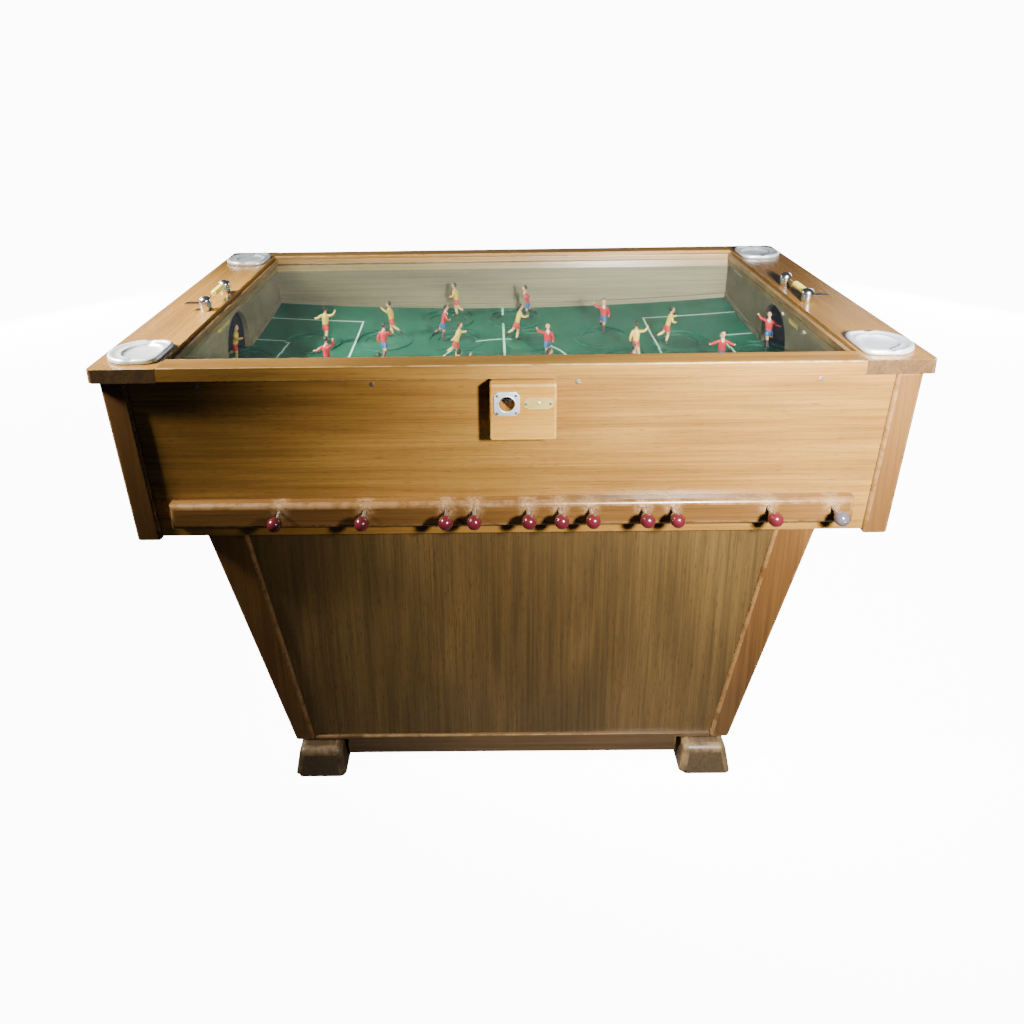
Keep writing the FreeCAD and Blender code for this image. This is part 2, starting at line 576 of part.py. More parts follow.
def beads(side, sign, pushed):
    """The tally beads of one wire, pushed up to the far post or away from it."""
    made = []
    for number in range(BEADS):
        start = (f"scorer_far_y - scorer_radius - {pushed} - {number} * {BEAD_STEP}"
                 " - tally_thick - tally_gap")
        body = rod(f"bead_{side}_{number}", f"{sign} * scorer_x", start,
                   "table_height + wire_height", "tally_radius", "tally_thick", Y_AXIS)
        bore = rod(f"bead_{side}_bore_{number}", f"{sign} * scorer_x", start + " - 1",
                   "table_height + wire_height", "tally_bore", "tally_thick + 2", Y_AXIS)
        made.append(cut(f"tally_{side}_{number}", body, [bore]))
    return made


node("score_beads_left", beads("left", -1, "0"))
node("score_beads_right", beads("right", 1, BEAD_TRAVEL))

# ---------------------------------------------------------------- knob, gear, figure masters
TEETH = 12
# shares of the gear's radius and of the tooth's own depth; the loose teeth never touch
TOOTH_ROOT, TOOTH_TIP, TOOTH_DEPTH = 0.125, 0.055, 0.15
ADDENDUM, SINK = 0.6, 0.75
KNOB_CAP_ANGLE, KNOB_NECK_TAPER = -35, 0.9
KNOB_ON_SHAFT = 12
PINION_SET_BACK = 4
BRACKET_HEAD = 12


def mitre_gear():
    """A 45 degree gear with its cone's tip at the origin and its shaft along +Z."""
    radius, face = size("gear_radius"), size("gear_face")
    pitch_length = radius * math.sqrt(2)
    inner_length = pitch_length - face
    depth = radius * TOOTH_DEPTH

    def section(length, half_root, half_tip, rise):
        scale = length / pitch_length
        along = Vector(1, 0, 1).normalize() * length
        up = Vector(1, 0, -1).normalize()
        tip = rise * ADDENDUM
        corners = [(-half_root, -rise), (half_root, -rise), (half_tip, tip), (-half_tip, tip)]
        points = [along + up * (v * scale) + Vector(0, u * scale, 0) for u, v in corners]
        return Part.makePolygon(points + points[:1])

    half_root, half_tip = radius * TOOTH_ROOT, radius * TOOTH_TIP
    tooth = Part.makeLoft([section(inner_length, half_root, half_tip, depth),
                           section(pitch_length, half_root, half_tip, depth)], True)
    teeth = []
    for number in range(TEETH):
        copy = tooth.copy()
        copy.rotate(ORIGIN, Z_AXIS, 360 * number / TEETH)
        teeth.append(copy)
    sink = depth * SINK / math.sqrt(2)
    r_in, r_out = inner_length / math.sqrt(2), radius
    low, high = r_in + sink * 2, r_out + sink * 2
    body = Part.makeCone(r_in, r_out, high - low, Vector(0, 0, low))
    hub = Part.makeCylinder(size("gear_hub_radius"), size("gear_hub_length"),
                            Vector(0, 0, high))
    return body.fuse([hub] + teeth).removeSplitter()


def knob():
    """A moulded mushroom knob: its foot at the origin, its crown along +Z."""
    radius, neck = size("knob_radius"), size("knob_neck_radius")
    middle = size("knob_length") - radius
    cap_foot = middle + radius * math.sin(math.radians(KNOB_CAP_ANGLE))
    cap = Part.makeSphere(radius, Vector(0, 0, middle), Z_AXIS, KNOB_CAP_ANGLE, 90, 360)
    stem = Part.makeCone(neck, neck * KNOB_NECK_TAPER, cap_foot + 1)
    return cap.fuse(stem)


def flat_sided(rings):
    """A solid with flat sides, drawn over rings that have the same number of corners."""
    outlines = [rings[0], rings[-1]]
    for low, high in zip(rings, rings[1:]):
        for near, far in zip(range(-1, len(low) - 1), range(len(low))):
            outlines.append([low[near], low[far], high[far], high[near]])
    faces = [Part.Face(Part.makePolygon(corners + corners[:1])) for corners in outlines]
    solid = Part.Solid(Part.Shell(faces))
    if solid.Volume < 0:
        solid.reverse()
    return solid


def ring_of_corners(centre, turn, radius, sides=8):
    """Corners of a regular polygon round a centre, square to the turned Z axis."""
    angles = [2 * math.pi * (number + 0.5) / sides for number in range(sides)]
    return [centre + turn.multVec(Vector(radius * math.cos(a), radius * math.sin(a), 0))
            for a in angles]


def limb(start, end, radius_start, radius_end):
    """A tapered limb with eight flat sides between two points."""
    turn = Rotation(Z_AXIS, end - start)
    return flat_sided([ring_of_corners(start, turn, radius_start),
                       ring_of_corners(end, turn, radius_end)])


def ball(centre, radius):
    """A ball with flat sides: four rings of eight corners."""
    level = Rotation()
    steps = ((-0.9, 0.45), (-0.4, 1.0), (0.4, 1.0), (0.9, 0.45))
    return flat_sided([ring_of_corners(centre + Z_AXIS * (radius * rise), level, radius * share)
                       for rise, share in steps])


# joints of the figure's body, from the standing foot, and the radius of each part there
HIP, CHEST, HEAD = Vector(0, 0, 43), Vector(3, 0, 69), Vector(5, 0, 85)
WAIST, NECK = Vector(0, 0, 38), Vector(3, 0, 66)
HIP_BACK, KNEE_BACK, TOE_BACK = Vector(0, 2, 45), Vector(-9, 6, 27), Vector(-27, 6, 17)
BOOT_SIZE, BOOT_CORNER = (13, 8, 5), Vector(-3.5, -4, 0)
SHOULDER, HAND = Vector(2.5, 3, 66), Vector(7, 25, 61)
HEAD_RADIUS, HAND_RADIUS, KNEE_RADIUS, TOE_RADIUS = 7.0, 3.2, 4.3, 4.0


def figure():
    """A footballer on one leg: standing foot at the origin, facing +X."""
    parts = [
        limb(ORIGIN, HIP, 3.0, 4.6),
        Part.makeBox(*BOOT_SIZE, BOOT_CORNER),
        limb(HIP_BACK, KNEE_BACK, 4.2, 3.4),
        limb(KNEE_BACK, TOE_BACK, 3.0, 2.4),
        ball(KNEE_BACK, KNEE_RADIUS),
        ball(TOE_BACK, TOE_RADIUS),
        limb(WAIST, CHEST, 7.2, 9.0),
        limb(NECK, HEAD, 6.5, 2.6),
        ball(HEAD, HEAD_RADIUS),
    ]
    for side in (-1, 1):
        hand = Vector(HAND.x, side * HAND.y, HAND.z)
        parts.append(limb(Vector(SHOULDER.x, side * SHOULDER.y, SHOULDER.z), hand, 3.3, 2.2))
        parts.append(ball(hand, HAND_RADIUS))
    body = parts[0]
    for part in parts[1:]:
        body = body.fuse(part)
    return body.removeSplitter()


def bracket():
    """A bearing bracket: footstep for the spindle and an upright for the shaft.

    The spindle's axis is Z through the origin, the shaft comes from -Y at height zero.
    """
    floor = BRACKET_FLOOR - SHAFT_Z
    width, back, plate = size("bracket_width"), size("bracket_back"), size("bracket_plate")
    base = Part.makeBox(width, back + plate + size("footstep_radius"), size("bracket_base"),
                        Vector(-width / 2, -back - plate, floor))
    upright = Part.makeBox(width, plate, BRACKET_HEAD - floor,
                           Vector(-width / 2, -back - plate, floor))
    step = Part.makeCylinder(size("footstep_radius"), size("footstep_height"),
                             Vector(0, 0, floor))
    fit = size("running_fit")
    shaft_bore = Part.makeCylinder(size("shaft_radius") + fit, plate + 2,
                                   Vector(0, -back - plate - 1, 0), Y_AXIS)
    spindle_bore = Part.makeCylinder(
        size("spindle_radius") + fit, size("footstep_depth") + 1,
        Vector(0, 0, floor + size("footstep_height") - size("footstep_depth")))
    return base.fuse([upright, step]).cut([shaft_bore, spindle_bore])


def master(name, shape):
    """A shape worked out once and copied to every place that uses it."""
    holder = doc.addObject("Part::Feature", name)
    holder.Shape = shape
    return holder


gear_master = master("mitre_gear", mitre_gear())
knob_master = master("moulded_knob", knob())
figure_master = master("figure", figure())
bracket_master = master("bearing_bracket", bracket())

# ---------------------------------------------------------------- players, knobs, brackets
SPINDLE_FOOT = BRACKET_FLOOR + size("footstep_height") - size("footstep_depth")
KNOB_Y = size("table_depth") / 2 - size("panel_setback") + size("knob_reach")
HALF_TOOTH = 180 / TEETH
brackets = []


def drive(team, number, x, y, turn, rest):
    """One player's node and one knob's node; turn is 0 for the front and 180 for the back."""
    foot_angle, facing = rest
    side = Placement(ORIGIN, Rotation(Z_AXIS, turn))
    front = side.inverse().multVec(Vector(x, y, 0))
    label_text = f"{team}_{number:02d}"
    level = pitch_height(x, y) - size("disc_sink")
    # the player: figure, disc, spindle and its gear
    spot = Vector(x, y, level) + Rotation(Z_AXIS, foot_angle).multVec(
        Vector(size("orbit_radius"), 0, 0))
    figure_copy = at(figure_master, f"figure_{label_text}",
                     Placement(spot, Rotation(Z_AXIS, facing)))
    disc = rod(f"disc_{label_text}", f"{x}", f"{y}", f"{level} - disc_thick", "disc_radius",
               "disc_thick")
    spindle = rod(f"spindle_{label_text}", f"{x}", f"{y}", f"{SPINDLE_FOOT}", "spindle_radius",
                  f"{level - SPINDLE_FOOT} - disc_thick")
    gear = at(gear_master, f"spindle_gear_{label_text}",
              Placement(Vector(x, y, SHAFT_Z), Rotation(Z_AXIS, 0)))
    doc.recompute()
    bored = cut(f"bored_gear_{label_text}", gear, [spindle])
    node(f"player_{label_text}", [figure_copy, disc, spindle, bored])
    # the knob: Bakelite knob, shaft and its pinion half a tooth round
    shaft_start = -KNOB_Y
    shaft_end = front.y - size("gear_radius") + PINION_SET_BACK
    shaft_axis = side.multVec(Y_AXIS)
    start = side.multVec(Vector(front.x, shaft_start, SHAFT_Z))
    shaft = rod(f"shaft_{label_text}", f"{start.x}", f"{start.y}", f"{start.z}",
                "shaft_radius", f"{shaft_end - shaft_start}", shaft_axis)
    knob_copy = at(knob_master, f"knob_{label_text}_head", side.multiply(
        Placement(Vector(front.x, shaft_start + KNOB_ON_SHAFT, SHAFT_Z), Rotation(X_AXIS, 90))))
    pinion = at(gear_master, f"pinion_{label_text}", side.multiply(
        Placement(Vector(front.x, front.y, SHAFT_Z), Rotation(X_AXIS, 90)).multiply(
            Placement(ORIGIN, Rotation(Z_AXIS, 90 + HALF_TOOTH)))))
    doc.recompute()
    node(f"knob_{label_text}", [shaft, cut(f"bored_knob_{label_text}", knob_copy, [shaft]),
                                cut(f"bored_pinion_{label_text}", pinion, [shaft])])
    brackets.append(at(bracket_master, f"bracket_{label_text}", side.multiply(
        Placement(Vector(front.x, front.y, SHAFT_Z), Rotation()))))


for number, (x, y) in enumerate(RED_DISCS, start=1):
    drive("red", number, x, y, 0, RED_REST[number - 1])
for number, (x, y) in enumerate(RED_DISCS, start=1):
    drive("yellow", number, -x, -y, 180, YELLOW_REST[number - 1])
node("bearing_brackets", brackets)

# ---------------------------------------------------------------- checks and export
doc.recompute()
for thing in doc.Objects:
    if "Invalid" in thing.State or "Error" in thing.State:
        raise RuntimeError(f"{thing.Name} failed: {thing.State}")
os.makedirs("parts", exist_ok=True)
for thing in NODES:
    if thing.Shape.isNull() or not thing.Shape.isValid():
        raise RuntimeError(f"{thing.Label} has no valid shape")
    solids = thing.Shape.Solids
    if not solids or min(solid.Volume for solid in solids) <= 0:
        raise RuntimeError(f"{thing.Label} holds a solid with no volume")
    thing.Shape.exportStep(os.path.join("parts", thing.Label + ".step"))
    print(f"{thing.Label}: {len(solids)} solids, {thing.Shape.Volume / 1000:.1f} cm3")
print(f"{len(NODES)} nodes")
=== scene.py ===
# %% [markdown]
# # A café table football game
# A glazed, tapered oak cabinet stands on a tapered pedestal with two sled feet. Under the
# glass, 22 small painted footballers stand on turning discs, and each disc is worked by its
# own moulded knob. The CAD frame already holds every piece at its real place and size, so
# this file gives the pieces their finished shapes, edges and surfaces.

import math

import bmesh
import bpy
from mathutils import Matrix, Vector


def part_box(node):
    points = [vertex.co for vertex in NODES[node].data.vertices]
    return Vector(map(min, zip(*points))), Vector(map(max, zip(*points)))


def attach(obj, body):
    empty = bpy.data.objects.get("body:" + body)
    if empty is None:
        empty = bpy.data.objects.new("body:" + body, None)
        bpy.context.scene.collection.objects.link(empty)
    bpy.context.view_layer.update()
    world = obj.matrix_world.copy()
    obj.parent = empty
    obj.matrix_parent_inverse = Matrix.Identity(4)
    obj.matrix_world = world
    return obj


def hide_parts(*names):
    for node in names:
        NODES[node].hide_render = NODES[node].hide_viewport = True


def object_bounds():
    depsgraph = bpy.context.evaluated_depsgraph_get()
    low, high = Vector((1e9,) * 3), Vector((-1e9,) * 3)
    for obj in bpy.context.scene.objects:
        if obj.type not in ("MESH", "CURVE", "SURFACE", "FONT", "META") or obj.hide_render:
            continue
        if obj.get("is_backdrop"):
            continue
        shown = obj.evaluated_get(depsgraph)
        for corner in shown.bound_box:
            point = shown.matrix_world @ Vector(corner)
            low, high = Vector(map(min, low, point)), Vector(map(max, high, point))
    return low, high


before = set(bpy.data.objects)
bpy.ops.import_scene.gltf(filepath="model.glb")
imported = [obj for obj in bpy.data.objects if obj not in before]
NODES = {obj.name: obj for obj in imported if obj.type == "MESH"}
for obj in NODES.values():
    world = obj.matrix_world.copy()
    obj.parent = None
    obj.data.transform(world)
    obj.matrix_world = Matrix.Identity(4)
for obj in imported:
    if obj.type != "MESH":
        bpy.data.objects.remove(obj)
cad_low, cad_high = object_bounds()
MM = 0.001
X, Y, Z = Vector((1, 0, 0)), Vector((0, 1, 0)), Vector((0, 0, 1))

# %% [markdown]
# ## Working with the CAD's solids
# A CAD node may hold several boards. Its triangles come one solid after another, so a solid
# is complete when every edge met so far has met its partner. Each solid becomes a bmesh of
# its own, merged and with its flat faces made whole again, ready to have its edges rounded.


# %% Take a node apart
def solids_of(node):
    """The separate closed solids of a CAD node, each as a merged bmesh."""
    mesh = NODES[node].data
    places = [tuple(round(c, 6) for c in vertex.co) for vertex in mesh.vertices]
    solids, open_edges, batch = [], set(), []
    for polygon in mesh.polygons:
        corners = [places[index] for index in polygon.vertices]
        if len(set(corners)) < 3:
            continue
        batch.append(corners)
        for start, end in zip(corners, corners[1:] + corners[:1]):
            if (end, start) in open_edges:
                open_edges.discard((end, start))
            else:
                open_edges.add((start, end))
        if not open_edges:
            solids.append(batch)
            batch = []
    if batch:
        solids.append(batch)
    return [whole(triangles) for triangles in solids]


def whole(triangles):
    """One merged bmesh from loose triangles, with flat faces joined up."""
    bm = bmesh.new()
    found = {}
    for corners in triangles:
        for place in corners:
            if place not in found:
                found[place] = bm.verts.new(place)
        verts = [found[place] for place in corners]
        if len(set(verts)) == 3 and not bm.faces.get(verts):
            bm.faces.new(verts)
    bmesh.ops.dissolve_limit(bm, angle_limit=math.radians(0.5), verts=bm.verts, edges=bm.edges)
    return bm


def span(bm):
    """Lowest and highest corner of a bmesh."""
    low = Vector([min(v.co[axis] for v in bm.verts) for axis in range(3)])
    high = Vector([max(v.co[axis] for v in bm.verts) for axis in range(3)])
    return low, high


def middle(bm):
    """The middle of a bmesh's box."""
    low, high = span(bm)
    return (low + high) / 2


top_solids = solids_of("top_frame")
print(f"top_frame holds {len(top_solids)} solids")


# %% Round edges and mark them for wear
SHARP = math.radians(25)


def long_edges(shortest):
    """A test for edges that are at least this long."""
    return lambda edge: edge.calc_length() >= shortest


def round_edges(bm, radius, segments=3, chosen=None):
    """Rounds the sharp edges that pass the test, and marks the new faces as easily worn."""
    worn = bm.faces.layers.float.get("edge_wear_and_rim_shade") or bm.faces.layers.float.new("edge_wear_and_rim_shade")
    sharp = [
        edge for edge in bm.edges
        if len(edge.link_faces) == 2 and edge.calc_face_angle(0) > SHARP
        and (chosen is None or chosen(edge))]
    made = bmesh.ops.bevel(
        bm, geom=sharp, offset=radius, offset_type="OFFSET", affect="EDGES",
        segments=segments, profile=0.5, material=-1, clamp_overlap=True)
    for face in made["faces"]:
        face[worn] = 1.0
    return bm


def absorb(whole_mesh, part):
    """Moves one bmesh into another."""
    scratch = bpy.data.meshes.new("scratch")
    part.to_mesh(scratch)
    part.free()
    whole_mesh.from_mesh(scratch)
    bpy.data.meshes.remove(scratch)


def joined(parts):
    """Several bmeshes as one."""
    whole_mesh = bmesh.new()
    for part in parts:
        absorb(whole_mesh, part)
    return whole_mesh


PIECES = []


def piece(name, bm, body, materials, stands_for=(), flat_angle=35, even=False):
    """Makes a finished object from a bmesh and sets it riding on its CAD body."""
    mesh = bpy.data.meshes.new(name)
    bm.to_mesh(mesh)
    bm.free()
    for material in materials:
        mesh.materials.append(material)
    mesh.shade_smooth()
    mesh.set_sharp_from_angle(angle=math.radians(flat_angle))
    made = bpy.data.objects.new(name, mesh)
    bpy.context.scene.collection.objects.link(made)
    if even:
        modifier = made.modifiers.new("even_shading", "WEIGHTED_NORMAL")
        modifier.keep_sharp = True
    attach(made, body)
    if stands_for:
        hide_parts(*stands_for)
    PIECES.append(made)
    return made


def board_piece(name, boards, material, node):
    """The rounded boards of one CAD node as one finished piece of the table."""
    piece(name, joined(boards), "table", [material], [node], even=True)


# %% [markdown]
# ## Shader building blocks
# Every finish is built from nodes. A small helper adds nodes and joins them, so a finish
# reads like a recipe. Effects that several finishes share, such as wood grain, edge wear and
# speckle, are node groups with named sockets, made once and given their own values in each.


# %% A helper for shader nodes
class Recipe:
    """Adds nodes to one node tree; a plain value goes straight onto its socket."""

    def __init__(self, tree):
        self.tree = tree

    def add(self, kind, inputs=None, **settings):
        made = self.tree.nodes.new(kind)
        for key, value in settings.items():
            setattr(made, key, value)
        for key, value in (inputs or {}).items():
            self.join(made.inputs[key], value)
        return made

    def join(self, socket, value):
        if isinstance(value, bpy.types.NodeSocket):
            self.tree.links.new(value, socket)
        elif socket.type == "RGBA" and len(value) == 3:
            socket.default_value = (*value, 1.0)
        else:
            socket.default_value = value

    def math(self, operation, first, second=0.0, clamp=False):
        return self.add("ShaderNodeMath", {0: first, 1: second}, operation=operation,
                        use_clamp=clamp).outputs[0]

    def mix(self, factor, first, second, blend="MIX"):
        made = self.add("ShaderNodeMix", data_type="RGBA", blend_type=blend)
        self.join(made.inputs[0], factor)
        self.join(made.inputs[6], first)
        self.join(made.inputs[7], second)
        return made.outputs[2]

    def stretch(self, vector, factors):
        return self.add("ShaderNodeVectorMath", {0: vector, 1: factors},
                        operation="MULTIPLY").outputs[0]

    def noise(self, vector, scale, detail=3.0, roughness=0.5, distortion=0.0):
        return self.add("ShaderNodeTexNoise", {
            "Vector": vector, "Scale": scale, "Detail": detail, "Roughness": roughness,
            "Distortion": distortion}).outputs["Fac"]

    def band(self, value, low, high):
        """A smooth step from 0 at low to 1 at high."""
        return self.add("ShaderNodeMapRange", {
            "Value": value, "From Min": low, "From Max": high},
            interpolation_type="SMOOTHSTEP").outputs[0]

    def between(self, value, low, high):
        """A value spread from 0..1 to low..high."""
        return self.add("ShaderNodeMapRange", {
            "Value": value, "To Min": low, "To Max": high}).outputs[0]

    def blotch(self, cloud, edges, share, first, second):
        """Two colours in soft blotches: the second where the cloud passes its edges."""
        return self.mix(self.math("MULTIPLY", self.band(cloud, *edges), share), first, second)

    def relief(self, shader, height, strength, distance):
        """A bump on the shader's Normal."""
        bump = self.add("ShaderNodeBump", {
            "Height": height, "Strength": strength, "Distance": distance})
        self.join(shader.inputs["Normal"], bump.outputs[0])


def effect(name, inputs, outputs):
    """A new node group: its recipe, its input sockets and its output node."""
    tree = bpy.data.node_groups.new(name, "ShaderNodeTree")
    for socket_name, kind, value in inputs:
        socket = tree.interface.new_socket(name=socket_name, in_out="INPUT", socket_type=kind)
        if value is not None:
            socket.default_value = value
    for socket_name, kind in outputs:
        tree.interface.new_socket(name=socket_name, in_out="OUTPUT", socket_type=kind)
    recipe = Recipe(tree)
    entry = recipe.add("NodeGroupInput").outputs
    return tree, recipe, entry, recipe.add("NodeGroupOutput").inputs


FLOAT, COLOR, VECTOR = "NodeSocketFloat", "NodeSocketColor", "NodeSocketVector"


# %% [markdown]
# ### Wood grain
# Oak shows three things at once: broad wavy figure from the growth rings, fine streaks along
# the grain, and short dark pores. All three are noise stretched along X, so a Mapping node in
# each material only has to turn the board's own grain onto X.

# %% The wood grain effect
grain_tree, r, given, out = effect("wood_grain", [
    ("Vector", VECTOR, None), ("Pale", COLOR, (0.5, 0.3, 0.1, 1)),
    ("Dark", COLOR, (0.2, 0.1, 0.03, 1)), ("Figure", FLOAT, 9.0), ("Pores", FLOAT, 0.5),
    ("Patches", FLOAT, 0.35),
], [("Color", COLOR), ("Height", FLOAT), ("Streak", FLOAT)])
figure_room = r.stretch(given["Vector"], (0.10, 1.0, 1.0))
swirl = r.noise(figure_room, 5.0, 2.0, 0.5, 0.6)
bend_room = r.add("ShaderNodeVectorMath", {
    0: figure_room, 1: r.stretch(swirl, (0.0, 0.25, 0.25))}, operation="ADD").outputs[0]
rings = r.add("ShaderNodeTexWave", {
    "Vector": bend_room, "Scale": given["Figure"], "Distortion": 3.5, "Detail": 3.0,
    "Detail Scale": 2.5}, wave_type="BANDS", bands_direction="DIAGONAL").outputs["Fac"]
fibre = r.noise(r.stretch(given["Vector"], (0.012, 1.0, 1.0)), 430.0, 3.0, 0.65)
streak = r.noise(r.stretch(given["Vector"], (0.018, 1.0, 1.0)), 150.0, 4.0, 0.6, 0.2)
pore = r.band(r.noise(r.stretch(given["Vector"], (0.045, 1.0, 1.0)), 900.0, 1.0, 0.4), 0.62, 0.74)
patch = r.noise(r.stretch(given["Vector"], (0.35, 1.0, 1.0)), 4.5, 2.0)
tone = r.math("ADD", r.math("MULTIPLY", rings, 0.12), r.math("MULTIPLY", streak, 0.72))
tone = r.math("ADD", tone, r.math("MULTIPLY", fibre, 0.75))
tone = r.band(tone, 0.48, 1.10)
plain = r.mix(tone, given["Dark"], given["Pale"])
shaded = r.mix(r.math("MULTIPLY", r.band(patch, 0.62, 0.36), given["Patches"]), plain,
               given["Dark"], "MULTIPLY")
pored = r.mix(r.math("MULTIPLY", pore, given["Pores"]), shaded, (0.035, 0.018, 0.006))
r.join(out["Color"], pored)
r.join(out["Height"], r.math("SUBTRACT", r.math("MULTIPLY", fibre, 0.4),
                             r.math("MULTIPLY", pore, given["Pores"])))
r.join(out["Streak"], tone)

# %% [markdown]
# ### Wear
# Varnish wears first on the rounded edges, in broken patches, and it picks up thin
# scratches. The edges were marked when they were rounded, so the mask multiplies that mark
# by noise and adds stretched, thresholded noise for the scratches.

# %% The wear and speckle effects
wear_tree, r, given, out = effect("edge_wear_and_rim_shade", [
    ("Vector", VECTOR, None), ("Edge", FLOAT, 0.0), ("Amount", FLOAT, 0.5),
    ("Scratches", FLOAT, 0.3),
], [("Mask", FLOAT)])
broken = r.band(r.noise(given["Vector"], 38.0, 5.0, 0.7), 0.66, 0.40)
rubbed = r.math("MULTIPLY", r.math("MULTIPLY", given["Edge"], broken), given["Amount"])
tilted = r.add("ShaderNodeMapping", {
    "Vector": given["Vector"], "Rotation": (0.5, 0.9, 0.4), "Scale": (3.0, 90.0, 90.0)})
hair_line = r.band(r.noise(tilted.outputs[0], 3.0, 2.0, 0.5), 0.735, 0.80)
spots = r.band(r.noise(given["Vector"], 9.0, 2.0), 0.45, 0.7)
lines = r.math("MULTIPLY", r.math("MULTIPLY", hair_line, spots), given["Scratches"])
r.join(out["Mask"], r.math("ADD", rubbed, lines, clamp=True))

speckle_tree, r, given, out = effect("speckle", [
    ("Vector", VECTOR, None), ("Scale", FLOAT, 200.0), ("Share", FLOAT, 0.3),
], [("Mask", FLOAT), ("Cloud", FLOAT)])
fine = r.noise(given["Vector"], given["Scale"], 3.0, 0.6)
cloud = r.noise(given["Vector"], r.math("MULTIPLY", given["Scale"], 0.08), 3.0, 0.55)
r.join(out["Mask"], r.math("MULTIPLY", r.band(fine, 0.56, 0.72), given["Share"]))
r.join(out["Cloud"], cloud)
print("effects:", grain_tree.name, wear_tree.name, speckle_tree.name)


# %% Start a material
def finish_base(name):
    """A new material: its recipe, its Principled shader and its Object coordinates."""
    material = bpy.data.materials.new(name)
    material.use_nodes = True
    recipe = Recipe(material.node_tree)
    shader = material.node_tree.nodes["Principled BSDF"]
    place = recipe.add("ShaderNodeTexCoord").outputs["Object"]
    return material, recipe, shader, place


def use(recipe, tree, **inputs):
    """Places an effect in a material; underscores in the names stand for spaces."""
    made = recipe.add("ShaderNodeGroup", node_tree=tree)
    for key, value in inputs.items():
        recipe.join(made.inputs[key.replace("_", " ")], value)
    return made.outputs


# %% [markdown]
# ### Varnished oak
# The cabinet is veneered and solid oak under an aged, warm varnish. Each board gets its own
# direction of grain: along X for the rails and panels, along Y for the end boards and feet,
# and up Z for posts and the pedestal's panels.

# %% The varnished wood finish
ALONG_X = (0.0, 0.0, 0.0)
ALONG_Y = (0.0, 0.0, math.pi / 2)
ALONG_Z = (0.0, math.pi / 2, 0.0)


def varnished(name, pale, dark, turn=ALONG_X, figure=9.0, pores=0.45, patches=0.35,
              roughness=0.36, coat=0.25, wear=0.5, scratches=0.25, shift=(0.0, 0.0, 0.0),
              bare=(0.62, 0.43, 0.24), rub=None):
    """Oak under varnish; rub adds a second mask of worn varnish worked out by the caller."""
    material, recipe, shader, place = finish_base(name)
    mapping = recipe.add("ShaderNodeMapping", {
        "Vector": place, "Rotation": turn, "Location": shift})
    grain = use(recipe, grain_tree, Vector=mapping.outputs[0], Pale=pale, Dark=dark,
                Figure=figure, Pores=pores, Patches=patches)
    edge = recipe.add("ShaderNodeAttribute", attribute_name="edge_wear_and_rim_shade").outputs["Fac"]
    mask = use(recipe, wear_tree, Vector=place, Edge=edge, Amount=wear,
               Scratches=scratches)["Mask"]
    if rub is not None:
        mask = recipe.math("MAXIMUM", mask, rub(recipe, place))
    recipe.join(shader.inputs["Base Color"], recipe.mix(mask, grain["Color"], bare))
    rough = recipe.math("ADD", recipe.between(grain["Streak"], roughness + 0.06, roughness - 0.06),
                        recipe.math("MULTIPLY", mask, 0.2))
    recipe.join(shader.inputs["Roughness"], rough)
    recipe.join(shader.inputs["Coat Weight"],
                recipe.between(mask, coat, 0.0))
    shader.inputs["Coat Roughness"].default_value = 0.22
    recipe.relief(shader, grain["Height"], 0.22, 0.0006)
    return material


end_board_oak = varnished("end_board_oak", (0.36, 0.190, 0.036), (0.190, 0.090, 0.015),
                          ALONG_Y, figure=6.0, pores=0.25, roughness=0.27, coat=0.45, wear=0.45,
                          bare=(0.52, 0.36, 0.15))
end_grain_oak = varnished("end_grain_oak", (0.120, 0.066, 0.024), (0.040, 0.022, 0.009),
                          ALONG_Y, figure=14.0, pores=0.3, roughness=0.42, coat=0.15,
                          wear=0.3, bare=(0.30, 0.19, 0.09))
rail_oak = varnished("top_rail_oak", (0.37, 0.205, 0.044), (0.190, 0.094, 0.018), ALONG_X,
                     figure=7.0, pores=0.3, roughness=0.29, coat=0.4, wear=0.5,
                     bare=(0.56, 0.40, 0.20))
bead_oak = varnished("glass_bead_oak", (0.30, 0.190, 0.075), (0.165, 0.098, 0.036), ALONG_X,
                     figure=5.0, pores=0.2, wear=0.3)
panel_oak = varnished("case_panel_oak", (0.340, 0.182, 0.040), (0.185, 0.092, 0.018), ALONG_X,
                      figure=8.0, pores=0.6, patches=0.35, roughness=0.31, scratches=0.35,
                      bare=(0.50, 0.32, 0.13))
post_oak = varnished("post_oak", (0.150, 0.074, 0.022), (0.080, 0.037, 0.011), ALONG_Z,
                     figure=4.0, pores=0.15, roughness=0.32, wear=0.3,
                     bare=(0.38, 0.22, 0.09))
pedestal_oak = varnished("pedestal_veneer_oak", (0.118, 0.072, 0.024), (0.056, 0.033, 0.010),
                         ALONG_Z, figure=7.0, pores=0.9, patches=0.35, roughness=0.42,
                         coat=0.12, scratches=0.2, bare=(0.24, 0.15, 0.06))
foot_oak = varnished("foot_oak", (0.120, 0.080, 0.042), (0.052, 0.034, 0.018), ALONG_Y,
                     figure=4.0, pores=0.4, roughness=0.42, coat=0.12, wear=0.4,
                     bare=(0.30, 0.20, 0.09))
wall_oak = varnished("wall_veneer", (0.185, 0.158, 0.096), (0.100, 0.085, 0.050), ALONG_X,
                     figure=4.0, pores=0.2, patches=0.3, roughness=0.55, coat=0.0, wear=0.2,
                     scratches=0.1)
block_oak = varnished("ball_block_oak", (0.50, 0.270, 0.050), (0.330, 0.165, 0.026), ALONG_X,
                      figure=6.0, pores=0.30, patches=0.2, roughness=0.22, coat=0.5,
                      wear=0.28, shift=(0.3, 0.2, 0.5), bare=(0.62, 0.42, 0.16))
print("oak finishes ready")

# %% [markdown]
# ### Knob rail
# The varnish on the knob rails is rubbed pale round every shaft, where fingers reach. The
# shafts' places come from the frame. The back rail is the front rail turned half round, so
# its X is flipped by the sign of Y and one row of places serves both.

